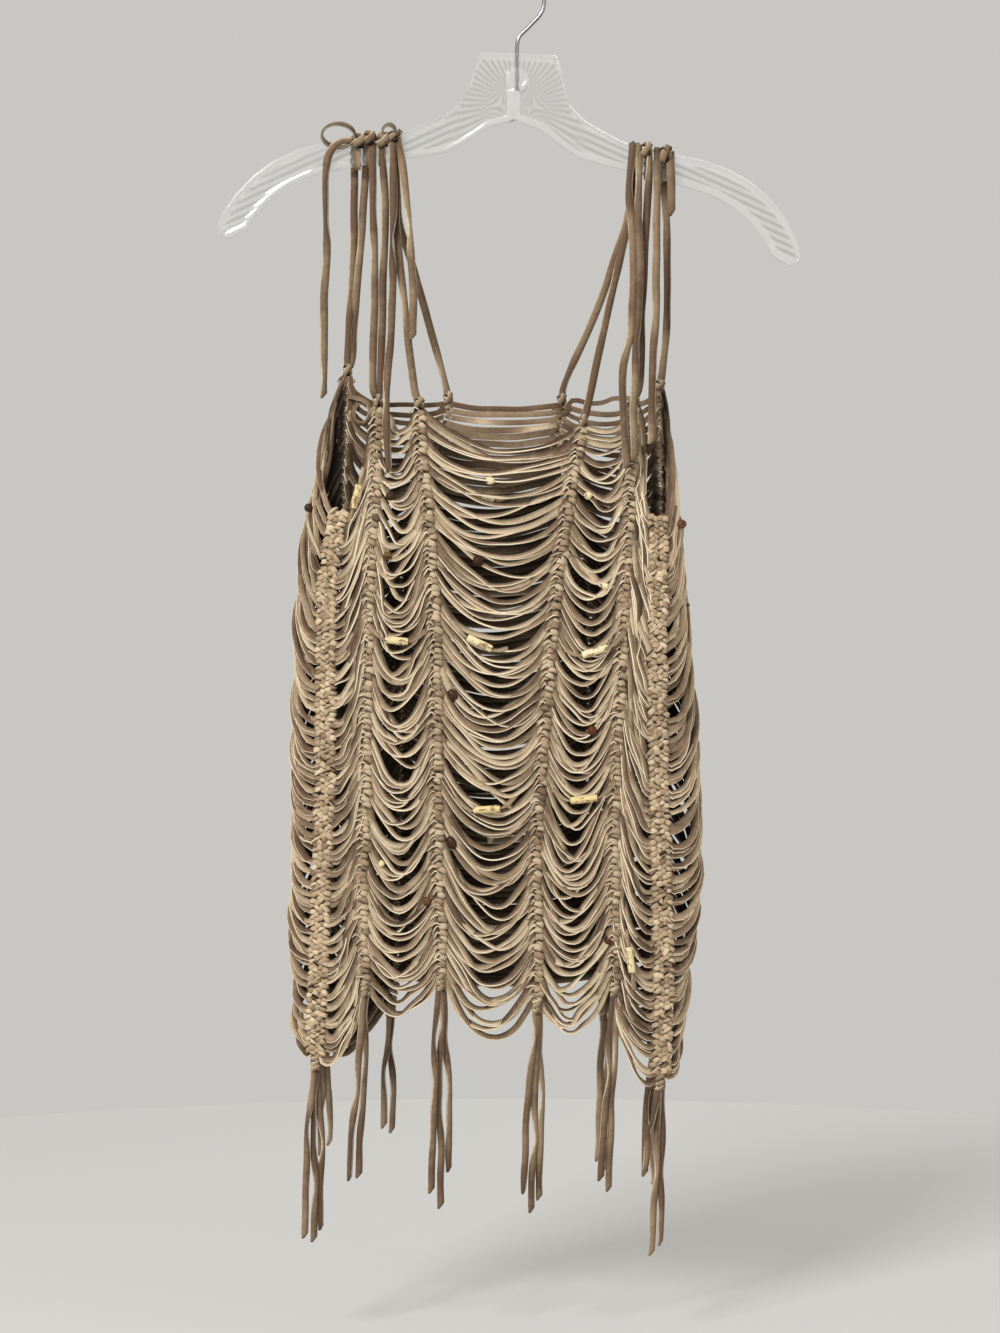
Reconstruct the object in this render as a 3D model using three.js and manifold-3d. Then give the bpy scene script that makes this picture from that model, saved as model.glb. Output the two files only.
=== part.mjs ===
// A sleeveless top knotted from flat suede laces, hung on a clear plastic hanger with a wire hook.
// Millimetres, +Z up. The front faces -Y and the origin is the underside of the hook's arch.
import * as THREE from 'three';
import { mergeVertices } from 'three/addons/utils/BufferGeometryUtils.js';
import Module from 'manifold-3d';

const wasm = await Module();
wasm.setup();

// Driving dimensions of the laces, the net and its trim
const SEAM_GAP = 0.3;
const SEAM_EASE = 0.6; // more room beside a braid, which bends between the lines of the net
const LACE_WIDTH = 4.5;
const LACE_THICKNESS = 1.4;
const WALL = 2;
const FRONT_BULGE = 2.5;
const BACK_BULGE = 1.5;
const RING_POWER = 2.5;
const COLUMN_WIDTH = 8;
const COLUMN_RAISE_LOW = 1.2;
const COLUMN_RAISE_HIGH = 2.4;
const GAP_COUNT = 12;
const GAP_HEIGHT = 7.5;
const GAP_CLOSED_HEIGHT = 3;
const BRAID_WIDTH = 14;
const BRAID_THICKNESS = 3;
const BRAID_PLAIT_RAISE = 1.3;
const BRAID_ROWS = 30;
const KNOT_RADIUS = 4;
const TIE_KNOT_HALF_WIDTH = 5.6;
const TIE_KNOT_HALF_HEIGHT = 5.4;
const TIE_DEPTH = -9; // where the free ends start, in front of the arm
const BONE_TUBE_DIAMETER = 5.6;
const BONE_TUBE_BORE_RADIUS = 1;

// A tail's strands fan out from its wrapped head, each by these steps from the middle one
const TAIL_HEAD_HALF_HEIGHT = 7;
const TAIL_ROOT_STEP = 1.2;
const TAIL_KNEE = { drop: 30, stepX: 2.6, stepY: 1.7, towardsTip: 0.25 };
const TAIL_LOW = { stepX: 4, stepY: 2.2, towardsTip: 0.6 };

// Driving dimensions of the hanger and its hook
const HANGER_THICKNESS = 8;
const HANGER_BEVEL = 1.5;
const HANGER_TILT = THREE.MathUtils.degToRad(-2.8);
const HANGER_PIVOT_Z = -100;
const WIRE_DIAMETER = 3;
const HOOK_RADIUS = 20.9;
const HOOK_TIP_DROP = 7;
const HOOK_BULB_RADIUS = 2.2;
const HOOK_BULB_HALF_HEIGHT = 5;
const HOOK_BULB_Z = -93;
const STEM_END_Z = -103;
const SOCKET_CLEARANCE = 0.3;

const COLOURS = {
  suede: { color: 0xb49c7c, roughness: 0.9, metalness: 0 },
  braid: { color: 0xc4ad8c, roughness: 0.9, metalness: 0 },
  bone: { color: 0xeadba8, roughness: 0.35, metalness: 0 },
  clear: { color: 0xe4e6ea, roughness: 0.08, metalness: 0 },
  steel: { color: 0xb9bcc0, roughness: 0.2, metalness: 1 },
};

const table = (names, rows) => {
  const keys = names.split(' ');
  return rows.map((row) => Object.fromEntries(keys.map((key, i) => [key, row[i]])));
};

// The hanging body: its left and right edge and its half depth at each height
const BODY = table('z left right half', [
  [-310, -132, 112, 11],
  [-342, -140, 113.5, 13],
  [-402, -150, 116.5, 18],
  [-476, -160, 124, 24],
  [-551, -164.5, 130, 28],
  [-625, -165.5, 133.5, 29],
  [-685, -165.5, 135.5, 29],
  [-737, -166, 130, 28],
  [-790, -165, 121, 26],
  [-860, -158, 119, 24],
]);

// Ten knotted columns, in order round the body, each with its places seen from the front
const COLUMNS = {
  seam_left: {
    top: -415, hem: -818, front: true, width: BRAID_WIDTH,
    path: table('z x', [
      [-403, -128], [-427, -133.5], [-473, -141.4], [-614, -141.4], [-752, -147], [-820, -149.4],
    ]),
  },
  front_1: {
    top: -339, hem: -762, front: true, width: COLUMN_WIDTH,
    path: table('z x', [
      [-339, -103.2], [-416, -106], [-496, -109.7], [-614, -111.9], [-689, -114], [-762, -112],
    ]),
  },
  front_2: {
    top: -341, hem: -757, front: true, width: COLUMN_WIDTH,
    path: table('z x', [
      [-341, -72.5], [-377, -70.5], [-431, -64.5], [-502, -60], [-637, -59.2], [-757, -56],
    ]),
  },
  front_3: {
    top: -354, hem: -774, front: true, width: COLUMN_WIDTH,
    path: table('z x', [
      [-354, 49], [-398, 40], [-446, 32.7], [-516, 25], [-600, 18.4], [-671, 13.6], [-774, 14.9],
    ]),
  },
  front_4: {
    top: -338, hem: -762, front: true, width: COLUMN_WIDTH,
    path: table('z x', [[-338, 87.5], [-398, 84.5], [-450, 81], [-553, 75.3], [-649, 71], [-762, 72]]),
  },
  seam_right: {
    top: -419, hem: -833, front: true, width: BRAID_WIDTH,
    path: table('z x', [[-419, 104], [-450, 104.5], [-553, 103], [-671, 106], [-775, 109], [-833, 106]]),
  },
  back_4: {
    top: -326, hem: -812, front: false, width: COLUMN_WIDTH,
    path: table('z x', [[-326, 107], [-450, 108], [-625, 107], [-812, 101]]),
  },
  back_3: {
    top: -336, hem: -781, front: false, width: COLUMN_WIDTH,
    path: table('z x', [[-336, 33.6], [-363, 30.6], [-408, 39], [-475, 55], [-625, 54], [-781, 65]]),
  },
  back_2: {
    top: -335, hem: -783, front: false, width: COLUMN_WIDTH,
    path: table('z x', [
      [-335, -51.5], [-363, -57.5], [-400, -72], [-453, -87], [-588, -87], [-755, -91], [-783, -95],
    ]),
  },
  back_1: {
    top: -315, hem: -811, front: false, width: COLUMN_WIDTH,
    path: table('z x', [[-315, -126.5], [-420, -130], [-550, -138], [-700, -142], [-811, -144]]),
  },
};

// The swags between neighbouring columns: how far they sag at the top row and at the hem, and their cells in
// width. Most of the growth is in the upper rows.
const FRONT_PANELS = table('from to sagTop sagHem cells', [
  ['seam_left', 'front_1', 8, 33, 4],
  ['front_1', 'front_2', 12, 29, 4],
  ['front_2', 'front_3', 18, 41, 7],
  ['front_3', 'front_4', 10, 32, 5],
  ['front_4', 'seam_right', 8, 30, 4],
]);
const BACK_PANELS = table('from to sagTop sagHem cells', [
  ['seam_right', 'back_4', 14, 10, 5],
  ['back_4', 'back_3', 8, 12, 5],
  ['back_3', 'back_2', 3, 23, 7],
  ['back_2', 'back_1', 8, 24, 5],
  ['back_1', 'seam_left', 14, 8, 5],
]);

// Half of the hanger's outline, from the middle of its top out to the tip and back underneath
const HANGER_TOP_EDGE = [
  [0, -75], [28, -75.5], [32.5, -89], [39.5, -112], [52, -123.5], [72, -133.5], [86, -139.5],
  [118, -145], [140, -148], [160, -154], [178, -163], [194, -176], [206, -190], [214, -203], [216.5, -211],
];
const HANGER_LOWER_EDGE = [
  [207, -222], [196, -216], [191, -207], [181, -194], [166, -182], [150, -173.5], [122, -166],
  [86, -158.5], [50, -151], [37, -143.5], [20, -131], [0, -125],
];

// Each strap runs from its shoulder knot to the head of a column. depth is its place behind (+) or before (-)
// the hanger.
const STRAPS = table('column depth laces', [
  ['back_1', 7.4, [
    [[-121.6, -150], [-122, -208], [-124, -251], [-126.5, -300]],
    [[-112.6, -150], [-116, -203], [-120, -250], [-123, -300]],
  ]],
  ['front_1', -7.4, [
    [[-107.4, -152], [-106.5, -207], [-106, -260], [-107, -325]],
    [[-100, -152], [-98, -192], [-99.5, -240], [-101.5, -325]],
  ]],
  ['front_2', -7.4, [
    [[-90.5, -150], [-88.5, -214], [-84, -262], [-76, -327]],
  ]],
  ['back_2', 7.4, [
    [[-92, -150], [-86.5, -203], [-76.8, -236.5], [-53.5, -321]],
  ]],
  ['back_3', 7.4, [
    [[91, -156], [84, -190], [62, -259], [35, -322]],
  ]],
  ['front_3', -7.4, [
    [[90, -156], [86, -192], [71, -251], [52, -340]],
  ]],
  ['front_4', -7.4, [
    [[98.5, -158], [95, -222], [93, -270], [91, -324]],
  ]],
  ['back_4', 7.4, [
    [[109.7, -160], [112.4, -220], [112.4, -270], [108.5, -312]],
  ]],
]);

// Each shoulder tie: where its turns go round the hanger's arm, the free ends that hang in front as x, z and
// y, and its bows
const TIES = {
  shoulder_tie_left: {
    turns: [-119, -110, -101, -92],
    freeEnds: [
      [
        [-121, -140, -9], [-133, -143, -10], [-141, -156, -10],
        [-141, -214, -10], [-143.2, -259, -10], [-143.4, -333, -10],
      ],
      [
        [-93, -142, -9], [-92, -165, -12.5], [-91.5, -207, -13],
        [-94, -290, -17], [-97, -333, -22], [-94.7, -389, -25],
      ],
      [[-88, -142, -9], [-84.5, -165, -12.5], [-80, -214, -12.5], [-77, -250, -13.5], [-77.6, -290, -14.5]],
    ],
    bows: [{ x: -133, z: -138.5, rx: 12, rz: 7 }],
  },
  shoulder_tie_right: {
    turns: [88, 97, 106, 115],
    freeEnds: [
      [
        [86, -146, -9], [83.5, -184, -12.5], [86, -229, -13],
        [84, -281, -16], [78.5, -311, -19], [81, -386, -24],
      ],
      [
        [91, -146, -9], [89.5, -184, -12.5], [91, -235, -13],
        [88.5, -300, -17], [85.5, -340, -22], [87, -380, -25],
      ],
      [[104.4, -148, -9], [103, -200, -12.5], [102.9, -251, -13], [100.7, -318, -17], [99.2, -368, -21]],
      [[114, -150, -9], [114.5, -165, -12.5], [114.8, -198, -12.5]],
    ],
    bows: [],
  },
};

// The tail below each column: where its strands end
const TAILS = table('column ends', [
  ['seam_left', [[-157.4, -955.6], [-150.7, -958.6], [-145.6, -950.4]]],
  ['front_1', [[-123.8, -911.6], [-117.1, -909.8]]],
  ['front_2', [[-63.4, -919.8], [-56.4, -931.4], [-50.4, -905]]],
  ['front_3', [[4.5, -920.6], [10.3, -934.7], [16.2, -925.8]]],
  ['front_4', [[61.4, -911.6], [67.4, -919.8]]],
  ['seam_right', [[94.7, -905.6], [99.4, -968.8], [105.9, -961.6]]],
  ['back_4', [[96, -915], [102, -921]]],
  ['back_3', [[61, -905], [67, -912]]],
  ['back_2', [[-100.3, -880.3], [-94.4, -883.9]]],
  ['back_1', [[-147, -899], [-141, -892]]],
]);

// Bone tubes threaded on the laces: centre, length, how far the tube turns down to the right, in degrees,
// whether it is at the front, and whether it hangs inside the body
const BONE_TUBES = table('x z length turn front inside', [
  [-27.6, -515, 20, 26, true, false],
  [-88.3, -513, 17, 6, true, false],
  [56.7, -521, 20, -16, true, false],
  [-22.4, -637, 20, -5, true, false],
  [48.5, -629.6, 20, -6, true, false],
  [-118.2, -406.5, 18, 104, true, false],
  [82.4, -748, 19, 82, true, false],
  [-25.5, -404.5, 18, 18, false, true],
]);

// A value of a table at a height, straight between its rows and held beyond them
function atHeight(rows, key, z) {
  const below = rows.findIndex((row) => row.z <= z);
  if (below === 0) return rows[0][key];
  if (below < 0) return rows[rows.length - 1][key];
  const [upper, lower] = [rows[below - 1], rows[below]];
  return THREE.MathUtils.mapLinear(z, upper.z, lower.z, upper[key], lower[key]);
}

// The body's flattened ring at a height
function ringAt(z) {
  const left = atHeight(BODY, 'left', z);
  const right = atHeight(BODY, 'right', z);
  return { centre: (left + right) / 2, halfWidth: (right - left) / 2, halfDepth: atHeight(BODY, 'half', z) };
}

// The angle round the ring, in its own squashed space, of a place seen from the front
function ringAngle(x, z, front) {
  const ring = ringAt(z);
  const across = THREE.MathUtils.clamp((x - ring.centre) / ring.halfWidth, -0.995, 0.995);
  const deep = (1 - Math.abs(across) ** RING_POWER) ** (1 / RING_POWER);
  return Math.atan2(front ? deep : -deep, across);
}

// A point of the ring at a height and angle, moved out along the ring's level normal
function ringPoint(z, angle, out) {
  const ring = ringAt(z);
  const powers = Math.abs(Math.cos(angle)) ** RING_POWER + Math.abs(Math.sin(angle)) ** RING_POWER;
  const reach = powers ** (-1 / RING_POWER);
  const across = reach * Math.cos(angle);
  const deep = reach * Math.sin(angle);
  const normal = new THREE.Vector3(
    (Math.sign(across) * Math.abs(across) ** (RING_POWER - 1)) / ring.halfWidth,
    (-Math.sign(deep) * Math.abs(deep) ** (RING_POWER - 1)) / ring.halfDepth,
    0,
  ).normalize();
  const point = new THREE.Vector3(ring.centre + ring.halfWidth * across, -ring.halfDepth * deep, z);
  return point.addScaledVector(normal, out);
}

// A knotted column's height at a share of the way down, and the angle of a line beside it
function columnHeight(name, down) {
  return THREE.MathUtils.lerp(COLUMNS[name].top, COLUMNS[name].hem, down);
}

function columnAngle(name, down, aside) {
  const column = COLUMNS[name];
  const z = columnHeight(name, down);
  return ringAngle(atHeight(column.path, 'x', z) + aside, z, column.front);
}

function columnPoint(name, down, out) {
  return ringPoint(columnHeight(name, down), columnAngle(name, down, 0), out);
}

// One closed wall from a grid of outer points and a grid of inner points. isOpen says which cells are cut
// out.
function wallGeometry(outer, inner, isOpen) {
  const stations = outer.length;
  const lines = outer[0].length;
  const positions = [...outer.flat(), ...inner.flat()].flatMap((point) => point.toArray());
  const outerIndex = (i, j) => i * lines + j;
  const innerIndex = (i, j) => (stations + i) * lines + j;
  const solid = (i, j) => i >= 0 && j >= 0 && i < stations - 1 && j < lines - 1 && !isOpen(i, j);
  const indices = [];
  const quad = (a, b, c, d) => indices.push(a, b, c, a, c, d);
  for (let i = 0; i < stations - 1; i += 1) {
    for (let j = 0; j < lines - 1; j += 1) {
      if (!solid(i, j)) continue;
      quad(outerIndex(i, j), outerIndex(i, j + 1), outerIndex(i + 1, j + 1), outerIndex(i + 1, j));
      quad(innerIndex(i, j), innerIndex(i + 1, j), innerIndex(i + 1, j + 1), innerIndex(i, j + 1));
      if (!solid(i, j - 1)) {
        quad(outerIndex(i, j), outerIndex(i + 1, j), innerIndex(i + 1, j), innerIndex(i, j));
      }
      if (!solid(i, j + 1)) {
        quad(outerIndex(i + 1, j + 1), outerIndex(i, j + 1), innerIndex(i, j + 1), innerIndex(i + 1, j + 1));
      }
      if (!solid(i - 1, j)) {
        quad(outerIndex(i, j + 1), outerIndex(i, j), innerIndex(i, j), innerIndex(i, j + 1));
      }
      if (!solid(i + 1, j)) {
        quad(outerIndex(i + 1, j), outerIndex(i + 1, j + 1), innerIndex(i + 1, j + 1), innerIndex(i + 1, j));
      }
    }
  }
  const geometry = new THREE.BufferGeometry();
  geometry.setAttribute('position', new THREE.Float32BufferAttribute(positions, 3));
  geometry.setIndex(indices);
  geometry.computeVertexNormals();
  return geometry;
}

// A net of swags hung between knotted columns, with a crescent gap under each band of laces
function netGeometry(panels) {
  const lineCount = 2 * GAP_COUNT + 2;
  const stations = [];
  const openStations = new Set();
  panels.forEach((panel, number) => {
    const bulgeHere = COLUMNS[panel.from].front && COLUMNS[panel.to].front ? FRONT_BULGE : BACK_BULGE;
    const leaveBy = COLUMNS[panel.from].front ? 1 : -1;
    const arriveBy = COLUMNS[panel.to].front ? -1 : 1;
    const firstGap = number === 0 ? SEAM_GAP + SEAM_EASE : 0;
    const lastGap = number === panels.length - 1 ? SEAM_GAP + SEAM_EASE : 0;
    const edgeFrom = COLUMNS[panel.from].width / 2 + firstGap;
    const edgeTo = COLUMNS[panel.to].width / 2 + lastGap;
    for (let cell = 0; cell <= panel.cells; cell += 1) {
      if (cell >= 1 && cell <= panel.cells - 2) openStations.add(stations.length);
      const share = cell / panel.cells;
      stations.push((down, shift, out) => {
        const start = columnAngle(panel.from, down, leaveBy * edgeFrom);
        let end = columnAngle(panel.to, down, arriveBy * edgeTo);
        if (end > start + Math.PI / 2) end -= 2 * Math.PI;
        const deepest = THREE.MathUtils.lerp(panel.sagTop, panel.sagHem, Math.sqrt(down));
        const sag = deepest * 4 * share * (1 - share);
        const z = THREE.MathUtils.lerp(columnHeight(panel.from, down), columnHeight(panel.to, down), share);
        const bulge = bulgeHere * 4 * share * (1 - share);
        const opened = THREE.MathUtils.lerp(GAP_CLOSED_HEIGHT, GAP_HEIGHT, 4 * share * (1 - share));
        return ringPoint(z - sag + shift * opened, THREE.MathUtils.lerp(start, end, share), bulge + out);
      });
    }
    if (number < panels.length - 1) {
      stations.push((down, shift, out, raised) => {
        const rise = raised ? COLUMN_RAISE_HIGH : COLUMN_RAISE_LOW;
        const z = columnHeight(panel.to, down) + shift * GAP_CLOSED_HEIGHT;
        return ringPoint(z, columnAngle(panel.to, down, 0), out < 0 ? out : rise);
      });
    }
  });
  // Odd lines are the tops of the gaps and even lines their undersides, but for the neck and the hem
  const grid = (out) => stations.map((station) =>
    Array.from({ length: lineCount }, (_, line) => {
      const edge = line === 0 || line === lineCount - 1;
      const shift = line % 2 === 1 ? 0.5 : -0.5;
      return station(Math.ceil(line / 2) / (GAP_COUNT + 1), edge ? 0 : shift, out, line % 2 === 0);
    }));
  return wallGeometry(grid(0), grid(-WALL), (i, j) => openStations.has(i) && j % 2 === 1);
}

// A side seam: a flat braid whose plaits are raised by turns to the left and right
function braidGeometry(name) {
  const asides = [-0.5, -0.25, 0, 0.25, 0.5].map((share) => share * BRAID_WIDTH);
  const grid = (outer) => asides.map((aside, i) =>
    Array.from({ length: BRAID_ROWS + 1 }, (_, row) => {
      const down = row / BRAID_ROWS;
      const inside = i > 0 && i < asides.length - 1;
      const plait = inside && (row + i) % 2 === 0 ? BRAID_PLAIT_RAISE : 0;
      const out = outer ? BRAID_THICKNESS - WALL + plait : -WALL;
      return ringPoint(columnHeight(name, down), columnAngle(name, down, aside), out);
    }));
  return wallGeometry(grid(true), grid(false), () => false);
}

const ACROSS_X = new THREE.Vector3(1, 0, 0);
const ACROSS_Y = new THREE.Vector3(0, 1, 0);

// A flat lace along a curve: a closed strip of four-sided section, its width along the direction named
function laceGeometry(points, across, { steps = 2 * (points.length - 1), closed = false } = {}) {
  const curve = new THREE.CatmullRomCurve3(points, closed, 'centripetal');
  const count = closed ? steps : steps + 1;
  const positions = [];
  for (let step = 0; step < count; step += 1) {
    const centre = curve.getPoint(step / steps);
    const tangent = curve.getTangent(step / steps);
    const wide = across.clone().addScaledVector(tangent, -across.dot(tangent)).setLength(LACE_WIDTH / 2);
    const thin = tangent.clone().cross(wide).setLength(LACE_THICKNESS / 2);
    for (const [w, t] of [[-1, -1], [1, -1], [1, 1], [-1, 1]]) {
      positions.push(...centre.clone().addScaledVector(wide, w).addScaledVector(thin, t).toArray());
    }
  }
  const indices = [];
  for (let step = 0; step < steps; step += 1) {
    const near = 4 * step;
    const far = 4 * ((step + 1) % count);
    for (let side = 0; side < 4; side += 1) {
      const next = (side + 1) % 4;
      indices.push(near + side, near + next, far + next, near + side, far + next, far + side);
    }
  }
  if (!closed) {
    const end = 4 * steps;
    indices.push(0, 2, 1, 0, 3, 2, end, end + 1, end + 2, end, end + 2, end + 3);
  }
  const geometry = new THREE.BufferGeometry();
  geometry.setAttribute('position', new THREE.Float32BufferAttribute(positions, 3));
  geometry.setIndex(indices);
  return geometry;
}

function knotGeometry(centre, rx, ry, rz) {
  const ball = new THREE.SphereGeometry(1, 7, 5).rotateX(Math.PI / 2);
  return ball.scale(rx, ry, rz).translate(...centre.toArray());
}

// Solids joined into one body, or cut from it
function toManifold(geometry) {
  const bare = geometry.clone();
  bare.deleteAttribute('normal');
  bare.deleteAttribute('uv');
  const merged = mergeVertices(bare, 1e-4);
  return new wasm.Manifold(new wasm.Mesh({
    numProp: 3,
    vertProperties: new Float32Array(merged.attributes.position.array),
    triVerts: new Uint32Array(merged.index.array),
  }));
}

function fromManifold(solid) {
  const mesh = solid.getMesh();
  const geometry = new THREE.BufferGeometry();
  geometry.setAttribute('position', new THREE.BufferAttribute(new Float32Array(mesh.vertProperties), 3));
  geometry.setIndex(new THREE.BufferAttribute(new Uint32Array(mesh.triVerts), 1));
  geometry.computeVertexNormals();
  return geometry;
}

const fuse = (geometries) => fromManifold(geometries.map(toManifold).reduce((all, next) => all.add(next)));

// The hanger hangs tilted, its right arm lower
function tilt(x, z) {
  const cos = Math.cos(HANGER_TILT);
  const sin = Math.sin(HANGER_TILT);
  return [x * cos - (z - HANGER_PIVOT_Z) * sin, HANGER_PIVOT_Z + x * sin + (z - HANGER_PIVOT_Z) * cos];
}

function tiltedEdge(half) {
  const mirrored = half.slice(1).map(([x, z]) => [-x, z]).reverse();
  return [...mirrored, ...half].map(([x, z]) => tilt(x, z));
}

const HANGER_UPPER = tiltedEdge(HANGER_TOP_EDGE);
const HANGER_UNDER = tiltedEdge([...HANGER_LOWER_EDGE].reverse());

function edgeHeight(edge, x) {
  const next = edge.findIndex(([edgeX]) => edgeX >= x);
  const [[x0, z0], [x1, z1]] = [edge[next - 1], edge[next]];
  return THREE.MathUtils.mapLinear(x, x0, x1, z0, z1);
}

function hangerGeometry(socket) {
  const outline = [...HANGER_UPPER, ...[...HANGER_UNDER].reverse()];
  const shape = new THREE.Shape(outline.map(([x, z]) => new THREE.Vector2(x, z)));
  const body = new THREE.ExtrudeGeometry(shape, {
    depth: HANGER_THICKNESS - 2 * HANGER_BEVEL,
    bevelThickness: HANGER_BEVEL,
    bevelSize: HANGER_BEVEL,
    bevelOffset: -HANGER_BEVEL,
    bevelSegments: 1,
  });
  body.translate(0, 0, HANGER_BEVEL - HANGER_THICKNESS / 2).rotateX(Math.PI / 2);
  return fromManifold(toManifold(body).subtract(toManifold(socket)));
}

// The hook's wire: an arch over the rail, a right leg, a jog back to the middle and a stem into the hanger
const HOOK_ARCH_Z = WIRE_DIAMETER / 2 - HOOK_RADIUS;
const HOOK_LEG = [[20.6, -32], [18.5, -44], [9, -55], [1.5, -63], [0, -72], [0, -86], [0, STEM_END_Z]];

function hookGeometry() {
  const arch = Array.from({ length: 9 }, (_, i) => {
    const angle = Math.PI - (i / 8) * Math.PI;
    return [HOOK_RADIUS * Math.cos(angle), HOOK_ARCH_Z + HOOK_RADIUS * Math.sin(angle)];
  });
  const path = [[-HOOK_RADIUS, HOOK_ARCH_Z - HOOK_TIP_DROP], ...arch, ...HOOK_LEG];
  const points = path.map(([x, z]) => new THREE.Vector3(x, 0, z));
  const curve = new THREE.CatmullRomCurve3(points, false, 'centripetal');
  const circle = new THREE.EllipseCurve(0, 0, WIRE_DIAMETER / 2, WIRE_DIAMETER / 2);
  const round = new THREE.Shape(circle.getPoints(8).slice(1));
  const wire = new THREE.ExtrudeGeometry(round, { steps: 26, bevelEnabled: false, extrudePath: curve });
  const bulb = new THREE.SphereGeometry(1, 8, 6).rotateX(Math.PI / 2);
  bulb.scale(HOOK_BULB_RADIUS, HOOK_BULB_RADIUS, HOOK_BULB_HALF_HEIGHT).translate(0, 0, HOOK_BULB_Z);
  return fuse([wire, bulb]);
}

// The socket that the stem and its bulb turn in: a bore with a wider pit for the bulb
function socketGeometry() {
  const bore = WIRE_DIAMETER / 2 + SOCKET_CLEARANCE;
  const pit = HOOK_BULB_RADIUS + SOCKET_CLEARANCE;
  const reach = HOOK_BULB_HALF_HEIGHT + SOCKET_CLEARANCE;
  const shoulder = reach - 1.5;
  const bottom = STEM_END_Z - SOCKET_CLEARANCE;
  const top = HANGER_TOP_EDGE[0][1] + 2;
  const profile = [
    [0, bottom], [bore, bottom], [bore, HOOK_BULB_Z - reach], [pit, HOOK_BULB_Z - shoulder],
    [pit, HOOK_BULB_Z + shoulder], [bore, HOOK_BULB_Z + reach], [bore, top], [0, top],
  ].map(([r, z]) => new THREE.Vector2(r, z));
  return new THREE.LatheGeometry(profile, 10).rotateX(Math.PI / 2);
}

// A turn of lace round the hanger's arm, clear of it by twice the seam gap
function turnGeometry(x) {
  const half = LACE_WIDTH / 2;
  const clear = 2 * SEAM_GAP + LACE_THICKNESS / 2;
  const corner = 1;
  const high = clear + Math.max(edgeHeight(HANGER_UPPER, x - half), edgeHeight(HANGER_UPPER, x + half));
  const low = Math.min(edgeHeight(HANGER_UNDER, x - half), edgeHeight(HANGER_UNDER, x + half)) - clear;
  const deep = HANGER_THICKNESS / 2 + clear;
  const loop = [
    [-deep, low + corner], [corner - deep, low], [deep - corner, low], [deep, low + corner],
    [deep, high - corner], [deep - corner, high], [corner - deep, high], [-deep, high - corner],
  ].map(([y, z]) => new THREE.Vector3(x, y, z));
  return laceGeometry(loop, ACROSS_X, { closed: true, steps: loop.length });
}

function tieGeometry({ turns, freeEnds, bows }) {
  const pieces = turns.map(turnGeometry);
  turns.forEach((x) => {
    const z = edgeHeight(HANGER_UPPER, x) - 3;
    const y = -HANGER_THICKNESS / 2 - SEAM_GAP - KNOT_RADIUS;
    const centre = new THREE.Vector3(x, y, z);
    pieces.push(knotGeometry(centre, TIE_KNOT_HALF_WIDTH, KNOT_RADIUS, TIE_KNOT_HALF_HEIGHT));
  });
  freeEnds.forEach((end) => {
    pieces.push(laceGeometry(end.map(([x, z, y]) => new THREE.Vector3(x, y, z)), ACROSS_X));
  });
  bows.forEach(({ x, z, rx, rz }) => {
    const loop = Array.from({ length: 10 }, (_, i) => {
      const angle = (i / 10) * 2 * Math.PI;
      return new THREE.Vector3(x + rx * Math.cos(angle), TIE_DEPTH, z + rz * Math.sin(angle));
    });
    pieces.push(laceGeometry(loop, ACROSS_Y, { closed: true, steps: 10 }));
  });
  return fuse(pieces);
}

// A strap ends in a knot that sits on the head of its column
function strapGeometry({ column, depth, laces }) {
  const head = columnPoint(column, 0, 0);
  const knot = head.clone().add(new THREE.Vector3(0, 0, SEAM_GAP + KNOT_RADIUS));
  const pieces = [knotGeometry(knot, KNOT_RADIUS, KNOT_RADIUS * 0.8, KNOT_RADIUS)];
  laces.forEach((lace) => {
    const top = lace[0][1];
    const foot = lace[lace.length - 1][1];
    const points = lace.map(([x, z]) =>
      new THREE.Vector3(x, THREE.MathUtils.mapLinear(z, top, foot, depth, knot.y), z));
    points.push(new THREE.Vector3(knot.x, knot.y, knot.z - 1));
    pieces.push(laceGeometry(points, ACROSS_X, { steps: 2 * lace.length }));
  });
  return fuse(pieces);
}

// A tail: a wrapped head under the column's last knot, and its strands fused into it
function tailGeometry({ column, ends }) {
  const foot = columnPoint(column, 1, 0);
  const head = foot.clone().add(new THREE.Vector3(0, 0, -SEAM_GAP - TAIL_HEAD_HALF_HEIGHT));
  const pieces = [knotGeometry(head, KNOT_RADIUS, KNOT_RADIUS, TAIL_HEAD_HALF_HEIGHT)];
  ends.forEach(([x, z], i) => {
    const fan = i - (ends.length - 1) / 2;
    const along = ({ stepX, stepY, towardsTip }, height) => new THREE.Vector3(
      THREE.MathUtils.lerp(head.x + stepX * fan, x, towardsTip),
      head.y + stepY * fan,
      height,
    );
    const root = head.clone().add(new THREE.Vector3(TAIL_ROOT_STEP * fan, 0, 0));
    const knee = along(TAIL_KNEE, head.z - TAIL_KNEE.drop);
    const low = along(TAIL_LOW, (head.z + z) / 2);
    const tip = new THREE.Vector3(x, low.y, z);
    pieces.push(laceGeometry([root, knee, low, tip], ACROSS_X, { steps: 3 }));
  });
  return fuse(pieces);
}

// A bone tube, bored for its lace, lying on the net
function boneTubeGeometry(length) {
  const radius = BONE_TUBE_DIAMETER / 2;
  const bore = BONE_TUBE_BORE_RADIUS;
  const corners = [[bore, -0.5], [radius, -0.5], [radius, 0.5], [bore, 0.5], [bore, -0.5]];
  const profile = corners.map(([r, share]) => new THREE.Vector2(r, share * length));
  return new THREE.LatheGeometry(profile, 8).rotateZ(Math.PI / 2);
}

const group = new THREE.Group();

function addMesh(name, geometry, look) {
  const mesh = new THREE.Mesh(geometry, new THREE.MeshStandardMaterial(COLOURS[look]));
  mesh.name = name;
  group.add(mesh);
  return mesh;
}

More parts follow.
